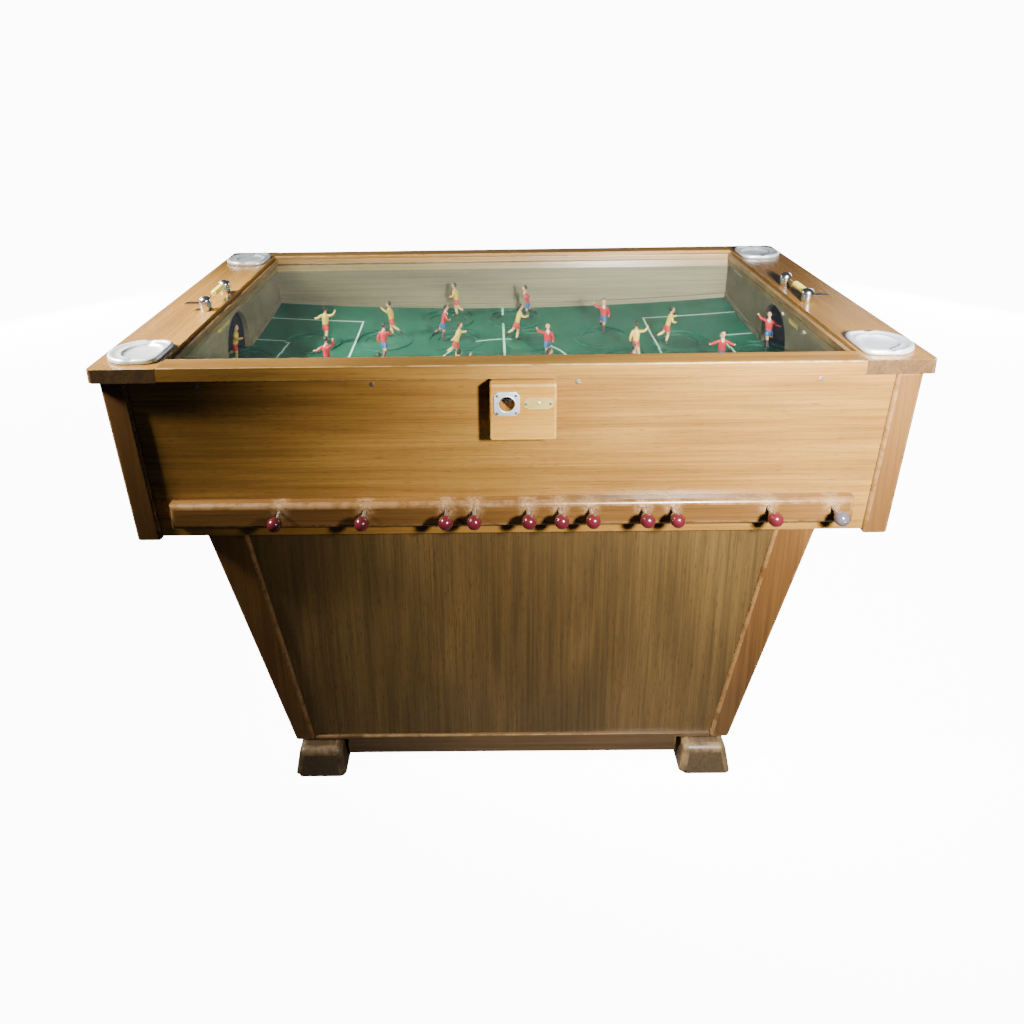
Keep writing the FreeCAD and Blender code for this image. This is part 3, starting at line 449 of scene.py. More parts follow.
# %% The knob rail finish, rubbed round each shaft
RED_KNOBS = [f"knob_red_{number:02d}" for number in range(1, 12)]
SHAFT_X = [sum(corner.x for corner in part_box(name)) / 2 for name in RED_KNOBS]
SHAFT_Z = sum(corner.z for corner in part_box(RED_KNOBS[0])) / 2


def rubbed_by_fingers(recipe, place):
    """A soft pale halo round each shaft."""
    parts = recipe.add("ShaderNodeSeparateXYZ", {0: place}).outputs
    side = recipe.math("MULTIPLY", recipe.math("SIGN", parts["Y"]), -1.0)
    along = recipe.math("MULTIPLY", parts["X"], side)
    nearest = 1.0
    for spot in SHAFT_X:
        gap = recipe.math("ABSOLUTE", recipe.math("SUBTRACT", along, spot))
        nearest = recipe.math("MINIMUM", nearest, gap)
    rise = recipe.math("SUBTRACT", parts["Z"], SHAFT_Z + 0.004)
    square = recipe.math("ADD", recipe.math("POWER", nearest, 2.0),
                         recipe.math("MULTIPLY", recipe.math("MULTIPLY", rise, rise), 0.7))
    halo = recipe.band(recipe.math("SQRT", square), 0.024, 0.005)
    mottle = recipe.band(recipe.noise(place, 160.0, 4.0, 0.7), 0.30, 0.72)
    return recipe.math("MULTIPLY", recipe.math("MULTIPLY", halo, mottle), 0.75)


knob_rail_oak = varnished("knob_rail_oak", (0.190, 0.094, 0.026), (0.100, 0.046, 0.012),
                          ALONG_X, figure=5.0, pores=0.3, roughness=0.28, coat=0.4, wear=0.25,
                          bare=(0.36, 0.23, 0.12), rub=rubbed_by_fingers)
print(f"shafts at x {[round(x, 3) for x in SHAFT_X]}, height {SHAFT_Z:.3f}")

# %% [markdown]
# ## Boards of the cabinet
# The real boards have soft, hand-sanded edges that catch the light. Each CAD board is copied,
# its edges are rounded with a bevel, and the bevelled faces carry the wear mark.

# %% Top frame: end boards, side rails and the beads round the glass
TOP_Z = span(top_solids[0])[1].z
end_boards, side_rails, glass_beads = [], [], []
for board in top_solids:
    low, high = span(board)
    size = high - low
    if high.z > TOP_Z - 0.004 and size.y > 0.5 and size.x > 0.05:
        end_boards.append(board)
    elif size.z > 0.02:
        side_rails.append(board)
    else:
        glass_beads.append(board)


def outer_corner(edge):
    """Upright edges at the outer corners of the table top."""
    first, second = edge.verts
    upright = abs(first.co.z - second.co.z) > 0.9 * edge.calc_length()
    return upright and abs(first.co.x) > cad_high.x - 0.01


for board in end_boards:
    round_edges(board, 0.009, 5, outer_corner)
    round_edges(board, 0.003, 3)
for board in side_rails:
    round_edges(board, 0.003, 3, long_edges(0.3))
for board in glass_beads:
    round_edges(board, 0.0035, 4, long_edges(0.3))
print(len(end_boards), "end boards,", len(side_rails), "side rails,", len(glass_beads), "beads")
end_board_pair = joined(end_boards)
for face in end_board_pair.faces:
    face.material_index = 1 if abs(face.normal.y) > 0.8 else 0
piece("end_boards", end_board_pair, "table", [end_board_oak, end_grain_oak],
      ["top_frame"], even=True)
board_piece("side_rails", side_rails, rail_oak, "top_frame")
board_piece("glass_beads", glass_beads, bead_oak, "top_frame")

# %% Case frame: upper posts, pedestal posts and bottom rails
frame_solids = solids_of("case_frame")
for board in frame_solids:
    low, high = span(board)
    upright = high.z - low.z > 0.2
    round_edges(board, 0.006 if upright else 0.0045, 4, long_edges(0.03))
print("case_frame:", len(frame_solids), "boards")
bottom_rails = [board for board in frame_solids if span(board)[1].z < 0.2]
posts = [board for board in frame_solids if board not in bottom_rails]
bottom_rail_oak = varnished("bottom_rail_oak", (0.120, 0.068, 0.026), (0.060, 0.032, 0.012),
                            ALONG_X, figure=4.0, pores=0.2, roughness=0.34, wear=0.4,
                            bare=(0.28, 0.18, 0.08))
board_piece("posts", posts, post_oak, "case_frame")
board_piece("bottom_rails", bottom_rails, bottom_rail_oak, "case_frame")


# %% Knob rails with a rounded outer face
def outer_face(edge):
    """Edges that border the face turned away from the table, apart from the bores."""
    return all(abs(v.co.y) > rail_front - 1e-4 for v in edge.verts) and edge.calc_length() > 0.03


rail_solids = solids_of("knob_rails")
rail_front = max(abs(v.co.y) for board in rail_solids for v in board.verts)
for board in rail_solids:
    round_edges(board, 0.009, 6, outer_face)
board_piece("knob_rails_rounded", rail_solids, knob_rail_oak, "knob_rails")
print("knob rails, outer face at y", round(rail_front, 4))

# %% [markdown]
# ### Sled feet
# Each foot is a thick runner under one end of the pedestal. Its sides lean in towards the
# top, and every edge is generously rounded from years of being pushed about.

# %% Sled feet
FOOT_LEAN = 0.010
foot_solids = solids_of("foot_runners")
for foot in foot_solids:
    low, high = span(foot)
    centre = (low + high) / 2
    for vert in foot.verts:
        if vert.co.z > centre.z:
            vert.co.x -= math.copysign(FOOT_LEAN, vert.co.x - centre.x)
            vert.co.y -= math.copysign(FOOT_LEAN, vert.co.y - centre.y)
    top_edges = [e for e in foot.edges if all(v.co.z > high.z - 1e-5 for v in e.verts)]
    round_edges(foot, 0.012, 5, lambda edge: edge in top_edges or abs(
        edge.verts[0].co.z - edge.verts[1].co.z) > 0.02)
    round_edges(foot, 0.004, 3, lambda edge: all(v.co.z < 0.001 for v in edge.verts))
board_piece("sled_feet", foot_solids, foot_oak, "foot_runners")


# %% Flat panels keep their CAD shape and get a finish
def refinish(node, material):
    """Puts a finish on a CAD node that is shown as it is."""
    mesh = NODES[node].data
    mesh.materials.clear()
    mesh.materials.append(material)


refinish("upper_panels", panel_oak)
refinish("pedestal_panels", pedestal_oak)
refinish("inner_walls", wall_oak)

# %% [markdown]
# ### Ball block
# The block with the ball hole is a paler, glossier piece of oak, with the bore behind an
# aluminium escutcheon. Only its straight outer edges are rounded, not the bore.

# %% Ball block
block_solids = solids_of("ball_block")
for block in block_solids:
    round_edges(block, 0.0045, 4, long_edges(0.03))
board_piece("ball_block_rounded", block_solids, block_oak, "ball_block")


# %% [markdown]
# ## Metal finishes
# Cast and rolled aluminium, brass, chrome and steel differ in colour, in roughness and in
# how cloudy they have become. One recipe covers them all: a metal with a clouded roughness,
# fine speckle for pits and a little bump.


# %% The metal finish
def metal(name, colour, roughness, cloud=0.12, pits=0.25, scale=260.0, tarnish=None, bump=0.15,
          metallic=1.0):
    """A bare metal, clouded and slightly pitted; a chalky oxide film lowers its metallic value."""
    material, recipe, shader, place = finish_base(name)
    marks = use(recipe, speckle_tree, Vector=place, Scale=scale, Share=pits)
    dull = tarnish or tuple(channel * 0.55 for channel in colour)
    clouded = recipe.blotch(marks["Cloud"], (0.42, 0.70), 0.45, colour, dull)
    recipe.join(shader.inputs["Base Color"], recipe.mix(marks["Mask"], clouded, dull))
    recipe.join(shader.inputs["Roughness"],
                recipe.between(marks["Cloud"], roughness - cloud / 2, roughness + cloud))
    shader.inputs["Metallic"].default_value = metallic
    recipe.relief(shader, marks["Mask"], bump, 0.0003)
    return material


cast_aluminium = metal("cast_aluminium", (0.80, 0.87, 0.97), 0.40, cloud=0.12, pits=0.25,
                       tarnish=(0.42, 0.47, 0.54), metallic=0.55)
plate_aluminium = metal("plate_aluminium", (0.66, 0.74, 0.84), 0.36, pits=0.3, scale=420.0,
                        metallic=0.5)
label_brass = metal("label_brass", (0.66, 0.55, 0.18), 0.38, pits=0.2,
                    tarnish=(0.34, 0.28, 0.10), metallic=0.5)
dull_chrome = metal("dull_chrome", (0.70, 0.69, 0.70), 0.20, cloud=0.10, pits=0.2)
shaft_steel = metal("shaft_steel", (0.52, 0.50, 0.47), 0.38, pits=0.5,
                    tarnish=(0.20, 0.13, 0.08))
print("metal finishes ready")

# %% [markdown]
# ### Plates and screws
# The escutcheon, the label plate and the slotted screws are small, but their fine bevels
# catch the light. The label is left blank apart from a raised border and a ball in relief.

# %% Escutcheon, label plate and screws
plate_solids = solids_of("metal_plates_and_screws")
plate_solids.sort(key=lambda bm: -max(span(bm)[1] - span(bm)[0]))
label_plate, escutcheon = plate_solids[0], plate_solids[1]
screw_heads = plate_solids[2:]
round_edges(escutcheon, 0.0006, 2, long_edges(0.004))
hole_low, hole_high = span(escutcheon)
HOLE = Vector(((hole_low.x + hole_high.x) / 2, hole_low.y, (hole_low.z + hole_high.z) / 2))


def turned(bm, outline, place, steps=32, material=0, arc=2 * math.pi):
    """Spins an outline of (radius, height) pairs round Z and puts it in place."""
    before = set(bm.verts)
    verts = [bm.verts.new((radius, 0, height)) for radius, height in outline]
    edges = [bm.edges.new(pair) for pair in zip(verts, verts[1:])]
    bmesh.ops.spin(bm, geom=verts + edges, cent=(0, 0, 0), axis=(0, 0, 1), angle=arc,
                   steps=steps, use_merge=arc > 6.28)
    made = [v for v in bm.verts if v not in before]
    bmesh.ops.remove_doubles(bm, verts=made, dist=1e-7)
    made = [v for v in bm.verts if v not in before]
    bmesh.ops.transform(bm, matrix=place, verts=made)
    faces = list({face for v in made for face in v.link_faces})
    bmesh.ops.recalc_face_normals(bm, faces=faces)
    for face in faces:
        face.material_index = material
    return made


def facing(direction, spot):
    """A placement that turns Z onto a direction at a spot."""
    return Matrix.Translation(spot) @ Z.rotation_difference(direction).to_matrix().to_4x4()


rim = bmesh.new()
RIM_RADIUS = 0.0148
turned(rim, [(RIM_RADIUS + 0.0011 * math.cos(a * math.pi / 4), 0.0011 * math.sin(a * math.pi / 4))
             for a in range(5)], facing(-Y, HOLE), 40)
piece("escutcheon", joined([escutcheon, rim]), "table", [plate_aluminium],
      ["metal_plates_and_screws"])

label_low, label_high = span(label_plate)
label_plate.free()
LABEL_END, LABEL_NOTCH, LABEL_EDGE = 0.0070, 0.0018, 0.0003


def label_outline(half_x, half_z):
    """Corners of a plate whose ends are round and set in by a small step."""
    shoulder = half_x - LABEL_END
    corners = []
    for side_x, side_z in ((1, -1), (1, 1), (-1, 1), (-1, -1)):
        arc = [(shoulder + LABEL_END * math.cos(a), (half_z - LABEL_NOTCH) * math.sin(a))
               for a in [math.radians(step) for step in range(0, 91, 10)]]
        run = arc + [(shoulder - LABEL_NOTCH, half_z)]
        run = run if side_x == side_z else run[::-1]
        corners += [(side_x * x, side_z * z) for x, z in run]
    return corners


label_plate = bmesh.new()
label_half = (label_high - label_low) / 2
label_centre = (label_low + label_high) / 2
plate_verts = [label_plate.verts.new((label_centre.x + x, label_high.y, label_centre.z + z))
               for x, z in label_outline(label_half.x, label_half.z)]
bmesh.ops.remove_doubles(label_plate, verts=plate_verts, dist=1e-6)
plate_face = label_plate.faces.new(label_plate.verts)
lifted = bmesh.ops.extrude_face_region(label_plate, geom=[plate_face])["geom"]
bmesh.ops.translate(label_plate, verts=[v for v in lifted if isinstance(v, bmesh.types.BMVert)],
                    vec=(0, label_low.y - label_high.y, 0))
bmesh.ops.recalc_face_normals(label_plate, faces=label_plate.faces)
front = min(label_plate.faces, key=lambda face: face.calc_center_median().y)
bmesh.ops.inset_region(label_plate, faces=[front], thickness=0.0012, depth=0.0)
bmesh.ops.inset_region(label_plate, faces=[front], thickness=LABEL_EDGE, depth=-LABEL_EDGE)
ball_mark = bmesh.new()
label_middle = Vector(((label_low.x + label_high.x) / 2, label_low.y + 0.0002,
                       (label_low.z + label_high.z) / 2))
turned(ball_mark, [(0.0, 0.0012), (0.0022, 0.0009), (0.0038, 0.0), ], facing(-Y, label_middle), 24)
turned(ball_mark, [(0.0052, 0.0), (0.0054, 0.0004), (0.0058, 0.0004), (0.0060, 0.0)],
       facing(-Y, label_middle), 32)
piece("label_plate", joined([label_plate, ball_mark]), "table", [label_brass],
      ["metal_plates_and_screws"])
for head in screw_heads:
    round_edges(head, 0.00025, 2)
piece("slotted_screws", joined(screw_heads), "table", [shaft_steel],
      ["metal_plates_and_screws"])
print("plates:", len(screw_heads), "screws")

# %% [markdown]
# ### Ashtrays
# Four cast aluminium ashtrays stand on the end boards. Each is round at its outer end and
# square at its inner end, with a round bowl set towards the middle of the table, a flat
# crescent at the outer end, and rests for cigarettes. Rings of one circle are pulled towards
# a rounded square on one half only, then bridged from the underside up and into the bowl.

# %% Ashtrays
# share of the half width, height in mm, squareness, how far the ring sits in the bowl
TRAY_RINGS = [
    (0.90, 0.0, 1.0, 0.0), (0.96, 0.4, 1.0, 0.0), (0.99, 1.6, 1.0, 0.0), (1.0, 4.2, 1.0, 0.0),
    (0.99, 7.0, 1.0, 0.0), (0.965, 8.9, 1.0, 0.0), (0.93, 9.8, 1.0, 0.0), (0.895, 10.0, 1.0, 0.0),
    (0.865, 9.5, 0.9, 0.1), (0.84, 8.3, 0.8, 0.3), (0.815, 7.3, 0.7, 0.5), (0.775, 7.0, 0.4, 0.8),
    (0.735, 7.6, 0.0, 1.0), (0.71, 7.9, 0.0, 1.0), (0.685, 7.5, 0.0, 1.0), (0.66, 6.2, 0.0, 1.0),
    (0.62, 4.2, 0.0, 1.0), (0.55, 3.0, 0.0, 1.0), (0.40, 2.6, 0.0, 1.0), (0.20, 2.5, 0.0, 1.0),
]
BOWL_SHIFT, REST_DEPTH, REST_WIDTH = 0.0075, 0.0034, 0.0050


def ashtray(centre, half, outward):
    """One cast ashtray with its round end towards outward (+1 or -1 along X)."""
    bm = bmesh.new()
    rings = []
    for share, height, square, depth in TRAY_RINGS:
        made = bmesh.ops.create_circle(bm, segments=72, radius=1.0)["verts"]
        for vert in made:
            cosine, sine = vert.co.x * outward, vert.co.y
            corner = 2.0 + square * 3.2 * min(max(0.5 - cosine * 1.6, 0.0), 1.0)
            reach = (abs(cosine) ** corner + abs(sine) ** corner) ** (-1 / corner)
            spot = Vector((vert.co.x, vert.co.y, 0)) * (reach * half * share)
            spot.x -= outward * depth * BOWL_SHIFT
            spot.z = height * MM
            if 0.6 < share < 0.97:
                dip = math.exp(-((spot.x + outward * 0.004) / REST_WIDTH) ** 2)
                spot.z -= REST_DEPTH * dip * min(1.0, height / 9.0)
            vert.co = centre + spot
        rings.append(list({edge for vert in made for edge in vert.link_edges}))
    for lower, upper in zip(rings, rings[1:]):
        bmesh.ops.bridge_loops(bm, edges=lower + upper)
    for ring in (rings[0], rings[-1]):
        bmesh.ops.edgeloop_fill(bm, edges=ring)
    bmesh.ops.recalc_face_normals(bm, faces=bm.faces)
    return bm


tray_solids = solids_of("ashtrays")
trays = []
for solid in tray_solids:
    low, high = span(solid)
    half_width = (high.y - low.y) / 2
    centre = Vector(((low.x + high.x) / 2, (low.y + high.y) / 2, low.z))
    trays.append(ashtray(centre, half_width, math.copysign(1, centre.x)))
piece("ashtrays_cast", joined(trays), "table", [cast_aluminium], ["ashtrays"],
      flat_angle=50)
print(len(trays), "ashtrays,", round(half_width * 2, 3), "m wide")

# %% [markdown]
# ### Score counters
# A wire between two chromed posts carries six beads on each end board. The posts are turned
# with a domed head, the wire is straight, and a thin stop plate sticks out of the near post.
# The beads are turned barrels with a bore for the wire.

# %% Score counters
wire_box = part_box("score_wires")
POST_TOP = wire_box[1].z
POST_RADIUS = 0.012
counters = bmesh.new()
first_bead = middle(solids_of("score_beads_left")[0])
for side in (-1, 1):
    bead_x = side * abs(first_bead.x)
    ends_y = (wire_box[0].y + POST_RADIUS, wire_box[1].y - POST_RADIUS)
    for post_y in ends_y:
        tall = POST_TOP - TOP_Z
        outline = [(0.0, tall), (POST_RADIUS * 0.4, tall - 0.0005),
                   (POST_RADIUS * 0.75, tall - 0.0022), (POST_RADIUS * 0.94, tall - 0.0055),
                   (POST_RADIUS, tall - 0.0095), (POST_RADIUS, 0.0012),
                   (POST_RADIUS - 0.0006, 0.0), (0.0, 0.0)]
        turned(counters, outline, Matrix.Translation((bead_x, post_y, TOP_Z)), 36)
    reach = ends_y[1] - ends_y[0]
    turned(counters, [(0.0, 0.0), (0.0015, 0.0), (0.0015, reach), (0.0, reach)],
           facing(Y, Vector((bead_x, ends_y[0], first_bead.z))), 12)
    tongue = bmesh.ops.create_cube(counters, size=1.0, matrix=Matrix.Translation(
        (bead_x + side * 0.025, ends_y[0], TOP_Z + 0.016)) @ Matrix.Diagonal(
            (0.034, 0.014, 0.0016, 1)))["verts"]
    tips = [e for e in {e for v in tongue for e in v.link_edges}
            if abs(e.verts[0].co.z - e.verts[1].co.z) > 0.001
            and abs(e.verts[0].co.x) > abs(bead_x) + 0.03]
    bmesh.ops.bevel(counters, geom=tips, offset=0.004, offset_type="OFFSET", affect="EDGES",
                    segments=4, profile=0.5, material=-1)
piece("score_counters", counters, "table", [dull_chrome], ["score_wires"])

bead_material, recipe, shader, place = finish_base("bead_plastic")
grime_and_rim_shade = use(recipe, speckle_tree, Vector=place, Scale=300.0, Share=0.3)
recipe.join(shader.inputs["Base Color"], recipe.blotch(
    grime_and_rim_shade["Cloud"], (0.45, 0.70), 0.5, (0.72, 0.62, 0.10), (0.55, 0.42, 0.08)))
recipe.join(shader.inputs["Roughness"], recipe.between(grime_and_rim_shade["Cloud"], 0.22, 0.40))
for side in ("left", "right"):
    beads = bmesh.new()
    tally = solids_of(f"score_beads_{side}")
    for solid in tally:
        low, high = span(solid)
        half, radius = (high.y - low.y) / 2, (high.x - low.x) / 2
        outline = [(0.0022, -half), (radius * 0.72, -half), (radius * 0.93, -half * 0.72),
                   (radius, -half * 0.25), (radius, half * 0.25), (radius * 0.93, half * 0.72),
                   (radius * 0.72, half), (0.0022, half), (0.0022, -half)]
        turned(beads, outline, facing(Y, (low + high) / 2), 28)
    piece(f"tally_beads_{side}", beads, f"beads_{side}", [bead_material],
          [f"score_beads_{side}"], flat_angle=40)
print("counters and beads ready")

# %% [markdown]
# ## The pitch
# The pitch is a dished board painted a matt green, with pale lines. The lines are drawn by
# the distance from each line in Object coordinates, so they keep their real width, and the
# paint is a little worn and dusty.

# %% The pitch paint
wall_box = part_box("inner_walls")
LINE_HALF = 0.0019


def distance_to(recipe, value, line):
    """How far a coordinate is from a line, counted from the line's middle."""
    return recipe.math("ABSOLUTE", recipe.math("SUBTRACT", value, line))


def painted_lines(recipe, place):
    """The mask of all lines on the pitch."""
    parts = recipe.add("ShaderNodeSeparateXYZ", {0: place}).outputs
    wobble = recipe.math("MULTIPLY", recipe.math(
        "SUBTRACT", recipe.noise(place, 60.0, 2.0), 0.5), 0.0016)
    along = recipe.math("ADD", recipe.math("ABSOLUTE", parts["X"]), wobble)
    across = recipe.math("ADD", recipe.math("ABSOLUTE", parts["Y"]), wobble)
    square = recipe.math("ADD", recipe.math("MULTIPLY", along, along),
                         recipe.math("MULTIPLY", across, across))
    lines = recipe.math("SUBTRACT", along, 0.0006)
    lines = recipe.math("MINIMUM", lines, distance_to(recipe, recipe.math("SQRT", square), 0.150))
    for front_x, side_y in ((0.360, 0.252), (0.518, 0.115)):
        reach = recipe.math("MAXIMUM", distance_to(recipe, along, front_x),
                            recipe.math("SUBTRACT", across, side_y))
        lines = recipe.math("MINIMUM", lines, reach)
        reach = recipe.math("MAXIMUM", distance_to(recipe, across, side_y),
                            recipe.math("SUBTRACT", front_x, along))
        lines = recipe.math("MINIMUM", lines, reach)
    return recipe.band(lines, LINE_HALF + 0.0004, LINE_HALF - 0.0004)


def pitch_finish(name, green, lines):
    """Matt green paint with dust; lines on the board, a near-black painted shade round the edge of
    a disc.
    """
    material, recipe, shader, place = finish_base(name)
    marks = use(recipe, speckle_tree, Vector=place, Scale=140.0, Share=0.25)
    ground = recipe.blotch(marks["Cloud"], (0.38, 0.68), 0.5, green,
                           tuple(channel * 0.62 for channel in green))
    dust_lines_and_rim_shade = recipe.mix(recipe.math("MULTIPLY", marks["Mask"], 0.35), ground, (0.16, 0.27, 0.20))
    if lines:
        worn = recipe.band(recipe.noise(place, 220.0, 4.0, 0.7), 0.22, 0.45)
        mask = recipe.math("MULTIPLY", painted_lines(recipe, place), worn)
        dust_lines_and_rim_shade = recipe.mix(recipe.math("MULTIPLY", mask, 0.9), dust_lines_and_rim_shade, (0.42, 0.64, 0.52))
    else:
        # painted shade: the marked outer band of a disc turns near black, standing for the shadow
        # in the gap round it
        rim = recipe.add("ShaderNodeAttribute", attribute_name="edge_wear_and_rim_shade").outputs["Fac"]
        dust_lines_and_rim_shade = recipe.mix(recipe.math("MULTIPLY", rim, 0.85), dust_lines_and_rim_shade, (0.004, 0.014, 0.010))
    recipe.join(shader.inputs["Base Color"], dust_lines_and_rim_shade)
    recipe.join(shader.inputs["Roughness"], recipe.between(marks["Cloud"], 0.42, 0.58))
    recipe.relief(shader, marks["Mask"], 0.12, 0.0004)
    return material


PITCH_GREEN = (0.004, 0.062, 0.038)
pitch_paint = pitch_finish("pitch_paint", PITCH_GREEN, True)
disc_paint = pitch_finish("disc_paint", PITCH_GREEN, False)
refinish("pitch_board", pitch_paint)

# %% [markdown]
# ### Turning discs
# Every player stands on its own disc, which turns inside a round dish in the pitch. The
# disc is the wide, thin solid of the player's CAD node.

# %% Find the discs
PLAYERS = [f"player_{team}_{number:02d}" for team in ("red", "yellow") for number in range(1, 12)]
drive_solids = {name: solids_of(name) for name in PLAYERS}


def flat_disc(solids):
    """The turning disc among a player's solids: wide and thin."""
    return max(solids, key=lambda bm: (span(bm)[1].x - span(bm)[0].x)
               if span(bm)[1].z - span(bm)[0].z < 0.012 else 0)


DISCS = {name: flat_disc(solids) for name, solids in drive_solids.items()}
print("disc of player_red_01:", [round(c, 4) for c in middle(DISCS["player_red_01"])])

# %% [markdown]
# ### Glass
# The pane is clear. Light passes through a plain transmissive shader, and a Light Path
# switch lets shadow rays through it, so that the lamps reach the pitch.

# %% Glass
glass, recipe, shader, place = finish_base("pane_glass")
shader.inputs["Base Color"].default_value = (0.93, 0.97, 0.95, 1)
shader.inputs["Roughness"].default_value = 0.0
shader.inputs["IOR"].default_value = 1.45
shader.inputs["Transmission Weight"].default_value = 1.0
clear = recipe.add("ShaderNodeBsdfTransparent", {"Color": (0.93, 0.97, 0.95)})
shadow_ray = recipe.add("ShaderNodeLightPath").outputs["Is Shadow Ray"]
blend = recipe.add("ShaderNodeMixShader", {0: shadow_ray, 1: shader.outputs[0],
                                           2: clear.outputs[0]})
output = glass.node_tree.nodes["Material Output"]
recipe.join(output.inputs["Surface"], blend.outputs[0])
refinish("glass_pane", glass)

# %% [markdown]
# ### Goal shade pockets
# Behind each goal arch the inside of the case lies in shade. A half-round shell painted near
# black stands behind the arch as painted shade and keeps the inside of the case out of sight.

# %% Goal shade pockets
goal_shade_black, recipe, shader, place = finish_base("goal_shade_black")
shade_mottle = use(recipe, speckle_tree, Vector=place, Scale=120.0, Share=0.4)
# painted shade: the shell is coloured near black for the shade inside the case behind the goal
recipe.join(shader.inputs["Base Color"], recipe.mix(shade_mottle["Cloud"], (0.010, 0.010, 0.011),
                                                    (0.022, 0.020, 0.018)))
recipe.join(shader.inputs["Roughness"], recipe.between(shade_mottle["Cloud"], 0.6, 0.8))
GOAL_HALF, POCKET_FOOT, POCKET_TOP = 0.078, 0.745, 0.858
pockets = bmesh.new()
for side in (-1, 1):
    made = turned(pockets, [(GOAL_HALF, 0.0), (GOAL_HALF, POCKET_TOP - POCKET_FOOT)],
                  Matrix.Translation((0, 0, POCKET_FOOT)), 16, arc=math.pi)
    bmesh.ops.rotate(pockets, verts=made, cent=(0, 0, 0), matrix=Matrix.Rotation(
        -side * math.pi / 2, 3, "Z"))
    bmesh.ops.scale(pockets, verts=made, vec=(0.55, 1, 1))
    bmesh.ops.translate(pockets, verts=made, vec=(side * (wall_box[1].x + 0.0005), 0, 0))
    top_ring = [e for e in {e for v in made for e in v.link_edges}
                if all(v.co.z > POCKET_TOP - 1e-4 for v in e.verts)]
    ring_verts = {v for e in top_ring for v in e.verts}
    loose = [v for v in ring_verts if sum(e in top_ring for e in v.link_edges) == 1]
    top_ring.append(pockets.edges.new(loose))
    bmesh.ops.edgeloop_fill(pockets, edges=top_ring)
pocket = piece("goal_shade_pockets", pockets, "table", [goal_shade_black])
thickness = pocket.modifiers.new("board", "SOLIDIFY")
thickness.thickness = 0.002
print("goal pockets behind x", round(wall_box[1].x, 3))

# %% [markdown]
# ## The footballers
# Each player is a cast and hand-painted figure about 92 mm tall, standing on one leg with
# the other trailing. A figure is a set of closed skins drawn over round stations: boots,
# socks, bare knees, shorts, shirt, long sleeves, hands, neck, head and hair. The same
# builder makes all 22. Only the hands, the trailing leg and the lean change.


# %% Paints for the figures
def enamel(name, colour, roughness=0.32, chips=0.10, under=(0.30, 0.28, 0.25)):
    """Hand-brushed enamel, a little uneven, with small chips."""
    material, recipe, shader, place = finish_base(name)
    marks = use(recipe, speckle_tree, Vector=place, Scale=900.0, Share=chips)
    uneven = recipe.blotch(marks["Cloud"], (0.35, 0.72), 0.45, colour,
                           tuple(channel * 0.6 for channel in colour))
    recipe.join(shader.inputs["Base Color"], recipe.mix(marks["Mask"], uneven, under))
    recipe.join(shader.inputs["Roughness"],
                recipe.between(marks["Cloud"], roughness - 0.06, roughness + 0.12))
    recipe.relief(shader, marks["Cloud"], 0.10, 0.0003)
    return material


skin_paint = enamel("skin_paint", (0.50, 0.265, 0.135))
hair_paint = enamel("hair_paint", (0.018, 0.014, 0.012))
boot_paint = enamel("boot_paint", (0.022, 0.018, 0.016))
eye_paint = enamel("eye_paint", (0.03, 0.02, 0.02), chips=0.0)
mouth_paint = enamel("mouth_paint", (0.42, 0.06, 0.05), chips=0.0)
TEAM_PAINTS = {
    "red": [enamel("red_shirt_paint", (0.36, 0.016, 0.022)),
            enamel("blue_shorts_paint", (0.020, 0.075, 0.20)),
            enamel("dark_sock_paint", (0.10, 0.025, 0.04)),
            enamel("white_collar_paint", (0.60, 0.58, 0.54), chips=0.05)],
    "yellow": [enamel("yellow_shirt_paint", (0.50, 0.335, 0.045)),
               enamel("red_shorts_paint", (0.36, 0.022, 0.022)),
               enamel("yellow_sock_paint", (0.50, 0.38, 0.12)),
               enamel("gold_collar_paint", (0.50, 0.33, 0.05))],
}
SKIN, HAIR, BOOT, EYE, MOUTH, SHIRT, SHORTS, SOCK, COLLAR = range(9)


# %% Skins drawn over stations
def loft(bm, stations, material, sides=12):
    """A closed skin over round stations: (centre, direction, half width, half depth)."""
    before = set(bm.faces)
    rings = []
    for centre, direction, wide, deep in stations:
        turn = Z.rotation_difference(direction).to_matrix().to_4x4()
        place = Matrix.Translation(centre) @ turn @ Matrix.Diagonal((deep, wide, 1, 1))
        made = bmesh.ops.create_circle(bm, segments=sides, radius=1.0, matrix=place)["verts"]
        rings.append(list({edge for vert in made for edge in vert.link_edges}))
    for lower, upper in zip(rings, rings[1:]):
        bmesh.ops.bridge_loops(bm, edges=lower + upper)
    for ring in (rings[0], rings[-1]):
        bmesh.ops.edgeloop_fill(bm, edges=ring)
    new_faces = [face for face in bm.faces if face not in before]
    bmesh.ops.recalc_face_normals(bm, faces=new_faces)
    for face in new_faces:
        face.material_index = material


def limb(bm, points, radii, material, sides=10):
    """A round limb through points, with rounded ends."""
    count = len(points)
    runs = [(points[min(i + 1, count - 1)] - points[max(i - 1, 0)]).normalized()
            for i in range(count)]
    stations = [(points[0] - runs[0] * radii[0] * 0.55, runs[0], radii[0] * 0.6, radii[0] * 0.6)]
    stations += [(point, run, radius, radius) for point, run, radius in zip(points, runs, radii)]
    stations.append((points[-1] + runs[-1] * radii[-1] * 0.55, runs[-1], radii[-1] * 0.6,
                     radii[-1] * 0.6))
    loft(bm, stations, material, sides)


def ball(bm, centre, size, material, segments=12):
    """A small ellipsoid with half sizes along X, Y and Z."""
    before = set(bm.faces)
    bmesh.ops.create_uvsphere(bm, u_segments=segments, v_segments=max(6, segments * 2 // 3),
                              radius=1.0, matrix=Matrix.Translation(centre) @ Matrix.Diagonal(
                                  (*size, 1)))
    for face in bm.faces:
        if face not in before:
            face.material_index = material


